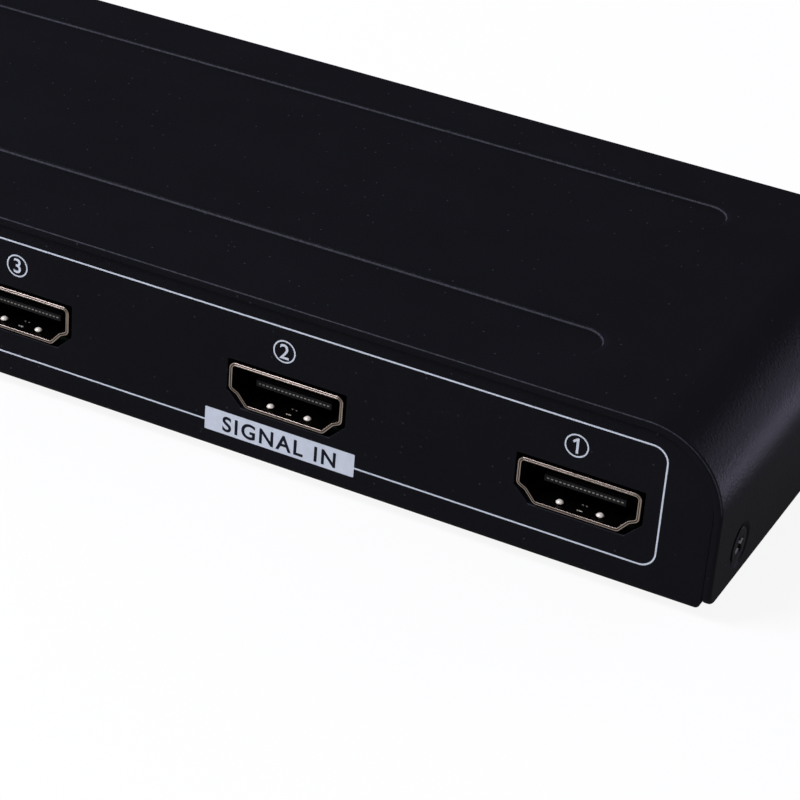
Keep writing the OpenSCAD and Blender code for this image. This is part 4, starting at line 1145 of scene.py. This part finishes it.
def makeWords(name, words, height, place, film, bolder, spacing=1):
    activate()
    bpy.ops.object.text_add()
    text = bpy.context.object
    text.name = name
    text.data.body = words
    text.data.align_x = "CENTER"
    text.data.size = height
    text.data.offset = bolder
    text.data.space_character = spacing
    text.data.extrude = film / 2
    bpy.ops.object.convert(target="MESH")
    letters = bpy.context.object
    across = [point.co.x for point in letters.data.vertices]
    along = [point.co.y for point in letters.data.vertices]
    # the letters are brought to their height and centred on their own middle
    grow = height / (max(along) - min(along))
    middle = Vector((max(across) + min(across), max(along) + min(along), 0)) / 2
    letters.scale = (grow, grow, 1)
    letters.location = middle * -grow
    applyTransform()
    letters.rotation_euler = (math.pi / 2, 0, 0)
    letters.location = place
    applyTransform()
    setMode("EDIT")
    faceOutwards()
    return letters


def frameLine(y, film):
    # a line with round corners that starts and ends at the label
    sizes = panelPrint
    half = sizes["line"] / 2
    labelLeft, labelRight = sizes["label"][0], sizes["label"][2]
    corners = []
    radii = []
    for grow, ways in ((half, 1), (-half, -1)):
        left, right = sizes["left"] - grow, sizes["right"] + grow
        low, high = sizes["low"] - grow, sizes["high"] + grow
        path = [(labelRight, low), (right, low), (right, high), (left, high), (left, low), (labelLeft, low)]
        bend = sizes["corner"] + grow
        corners += path[::ways]
        radii += [0, bend, bend, bend, bend, 0]
    outline = roundCorners(corners, radii, sizes["cornerSteps"])
    return drawPrism("frameLine", onWall(outline, y), yAxis * film)


def numberRing(x, z, y, film):
    steps = panelPrint["ringSteps"]
    circle = arcPoints((0, 0), panelPrint["ring"], 0, 360 - 360 / steps, steps - 1)
    ring = drawOutline("ring", onWall(circle, y, x, z))
    bpy.ops.mesh.inset(thickness=panelPrint["ringLine"], use_even_offset=True)
    bpy.ops.mesh.delete(type="FACE")
    bpy.ops.mesh.select_all(action="SELECT")
    pull((0, film, 0))
    faceOutwards()
    return ring


def makePrint():
    sizes = panelPrint
    film, height = sizes["film"] + sizes["sink"], sizes["digitHeight"]
    y = trayLow.y - sizes["film"]
    middleY = y + film / 2
    prints = [frameLine(y, film)]
    for index, shift in enumerate(sizes["ringShift"]):
        x = socketX(index) + shift
        z = videoSocket["z"] + sizes["ringRise"]
        prints.append(numberRing(x, z, y, film))
        if index == 0:
            stroke = [(across * height, up * height) for across, up in digitOne]
            digit = drawPrism("digit", onWall(stroke, y, x, z), yAxis * film)
        else:
            place = Vector((x, middleY, z))
            digit = makeWords("digit", str(index + 1), height, place, film, sizes["digitBolder"])
        prints.append(digit)
    finishPiece(joinPieces("panelPrint", prints), whitePrintInk, "case", smooth=sizes["smooth"])
    left, low, right, high = sizes["label"]
    corners = rectangle(left, low, right, high)
    outline = roundCorners(corners, [sizes["labelCorner"]] * len(corners), sizes["labelSteps"])
    label = drawPrism("inputLabel", onWall(outline, y), yAxis * film)
    finishPiece(label, whitePrintInk, "case", smooth=sizes["smooth"])
    place = Vector(((left + right) / 2, middleY - sizes["film"] / 2, (low + high) / 2 - sizes["wordsDrop"]))
    words = makeWords(
        "inputLabelWords", sizes["words"], sizes["wordsHeight"], place, film, sizes["bolder"],
        sizes["wordsSpacing"],
    )
    finishPiece(words, blackPrintInk, "case", smooth=sizes["smooth"])


makeCover()
makeTray()
makeSideScrews()
makeSockets()
makePowerInlet()
makeSelectButton()
makeLamps()
makeRemoteWindow()
makeFeet()
makePrint()
print("pieces made")


# Inner pieces keep their own meshes and get their finish here

innerFinish = {
    "circuit_board": boardLacquer, "board_standoffs": tinPlate, "board_screws": tinPlate,
    "power_inlet_spring": tinPlate, "switch_stem": ivoryAcetal, "switch_body": satinPlastic,
    "switch_dome": tinPlate, "switch_terminals": tinPlate, "lamp_leads": tinPlate,
    "remote_receiver": filterAcrylic, "remote_receiver_leads": tinPlate, "switching_chip": chipCompound,
    "switching_chip_leads": tinPlate, "control_chip": chipCompound, "control_chip_leads": tinPlate,
    "power_regulator": chipCompound, "power_regulator_leads": tinPlate, "power_coil": pressedFerrite,
    "filter_capacitors": drawnCan, "capacitor_bases": satinPlastic, "crystal": drawnCan,
}
for socket in videoSocket["names"]:
    innerFinish[socket + "_insulator"] = fibrePolymer
    innerFinish[socket + "_contacts"] = goldFlash
for name, finish in innerFinish.items():
    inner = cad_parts[name].data
    inner.materials.clear()
    inner.materials.append(finish)
print("inner pieces finished")


# Studio: pale floor, soft lamps, and the camera at the photograph's angle

studio = {
    "floor": 6, "floorCells": 4, "floorColour": "#f4f4f4", "floorGlow": 0.9,
    "world": "#888a8f", "worldLevel": 1,
    "lens": 126.37, "sensor": 36, "clipStart": 0.01, "azimuth": 24.98, "elevation": 30.27, "roll": 4.69,
    "eye": (169.15, -282.5, 177.3),
}
softboxes = {
    # place and aim in millimetres, width and height in metres, watts, colour,
    # and whether the lamp gives a sheen alone
    "keyLight": ((-330, -310, 660), (0, 0, 10), 0.3, 0.3, 6.3, "#eceeff", False),
    "sideLight": ((-800, 40, 190), (0, 0, 15), 0.4, 0.2, 4.8, "#eceeff", False),
    "bendLight": ((520, 640, 155), (88, 0, 18), 0.5, 0.3, 3.3, "#e1dcff", False),
    "floorCard": ((175, 110, 1), (175, 110, 500), 0.11, 0.2, 1.45, "#e1dcff", True),
}


def makeFloor():
    activate()
    cells = studio["floorCells"]
    bpy.ops.mesh.primitive_grid_add(x_subdivisions=cells, y_subdivisions=cells, size=studio["floor"])
    floor = bpy.context.object
    floor.name = "floor"
    material, tree, diffuse = startMaterial(
        "paleFloor", {"Base Color": linear(studio["floorColour"]), "Roughness": 1, "Specular IOR Level": 0}
    )
    glow = addNode(tree, "Emission", {"Color": (1, 1, 1, 1), "Strength": 1})
    # the camera, mirrors and clear pieces see a floor that glows white
    rays = addNode(tree, "LightPath")
    seen = rays.outputs["Is Camera Ray"]
    for kind in ("Is Glossy Ray", "Is Transmission Ray"):
        links = {0: seen, 1: rays.outputs[kind]}
        seen = addNode(tree, "Math", {"operation": "MAXIMUM"}, links).outputs[0]
    share = addNode(tree, "Math", {"operation": "MULTIPLY", 1: studio["floorGlow"]}, {0: seen})
    blend = addNode(
        tree, "MixShader", {}, {0: share.outputs[0], 1: diffuse.outputs[0], 2: glow.outputs[0]}
    )
    tree.links.new(blend.outputs[0], tree.nodes["Material Output"].inputs["Surface"])
    floor.data.materials.append(material)


def makeLights():
    world = bpy.data.worlds.new("studioAir")
    world.use_nodes = True
    air = world.node_tree.nodes["Background"]
    air.inputs["Color"].default_value = linear(studio["world"])
    air.inputs["Strength"].default_value = studio["worldLevel"]
    bpy.context.scene.world = world
    for name, (place, aim, width, height, watts, colour, sheenOnly) in softboxes.items():
        activate()
        place = Vector(place) * millimetre
        bpy.ops.object.light_add(type="AREA", location=place)
        lamp = bpy.context.object
        lamp.name = name
        lamp.data.shape = "RECTANGLE"
        lamp.data.size = width
        lamp.data.size_y = height
        lamp.data.energy = watts
        lamp.data.color = linear(colour)[:3]
        lamp.visible_camera = False
        lamp.visible_diffuse = not sheenOnly
        lamp.rotation_euler = (Vector(aim) * millimetre - place).to_track_quat("-Z", "Y").to_euler()


def makeCamera():
    azimuth, elevation, roll = (math.radians(studio[name]) for name in ("azimuth", "elevation", "roll"))
    flat = math.cos(elevation)
    back = Vector((math.sin(azimuth) * flat, -math.cos(azimuth) * flat, math.sin(elevation)))
    level = zAxis.cross(back).normalized()
    upright = back.cross(level)
    right = level * math.cos(roll) + upright * math.sin(roll)
    up = upright * math.cos(roll) - level * math.sin(roll)
    activate()
    bpy.ops.object.camera_add()
    camera = bpy.context.object
    camera.data.lens = studio["lens"]
    camera.data.sensor_width = studio["sensor"]
    camera.data.clip_start = studio["clipStart"]
    turn = Matrix((right, up, back)).transposed().to_4x4()
    camera.matrix_world = Matrix.Translation(Vector(studio["eye"]) * millimetre) @ turn
    bpy.context.scene.camera = camera


makeFloor()
makeLights()
makeCamera()
bpy.context.scene.view_settings.view_transform = "Standard"
print("studio set")
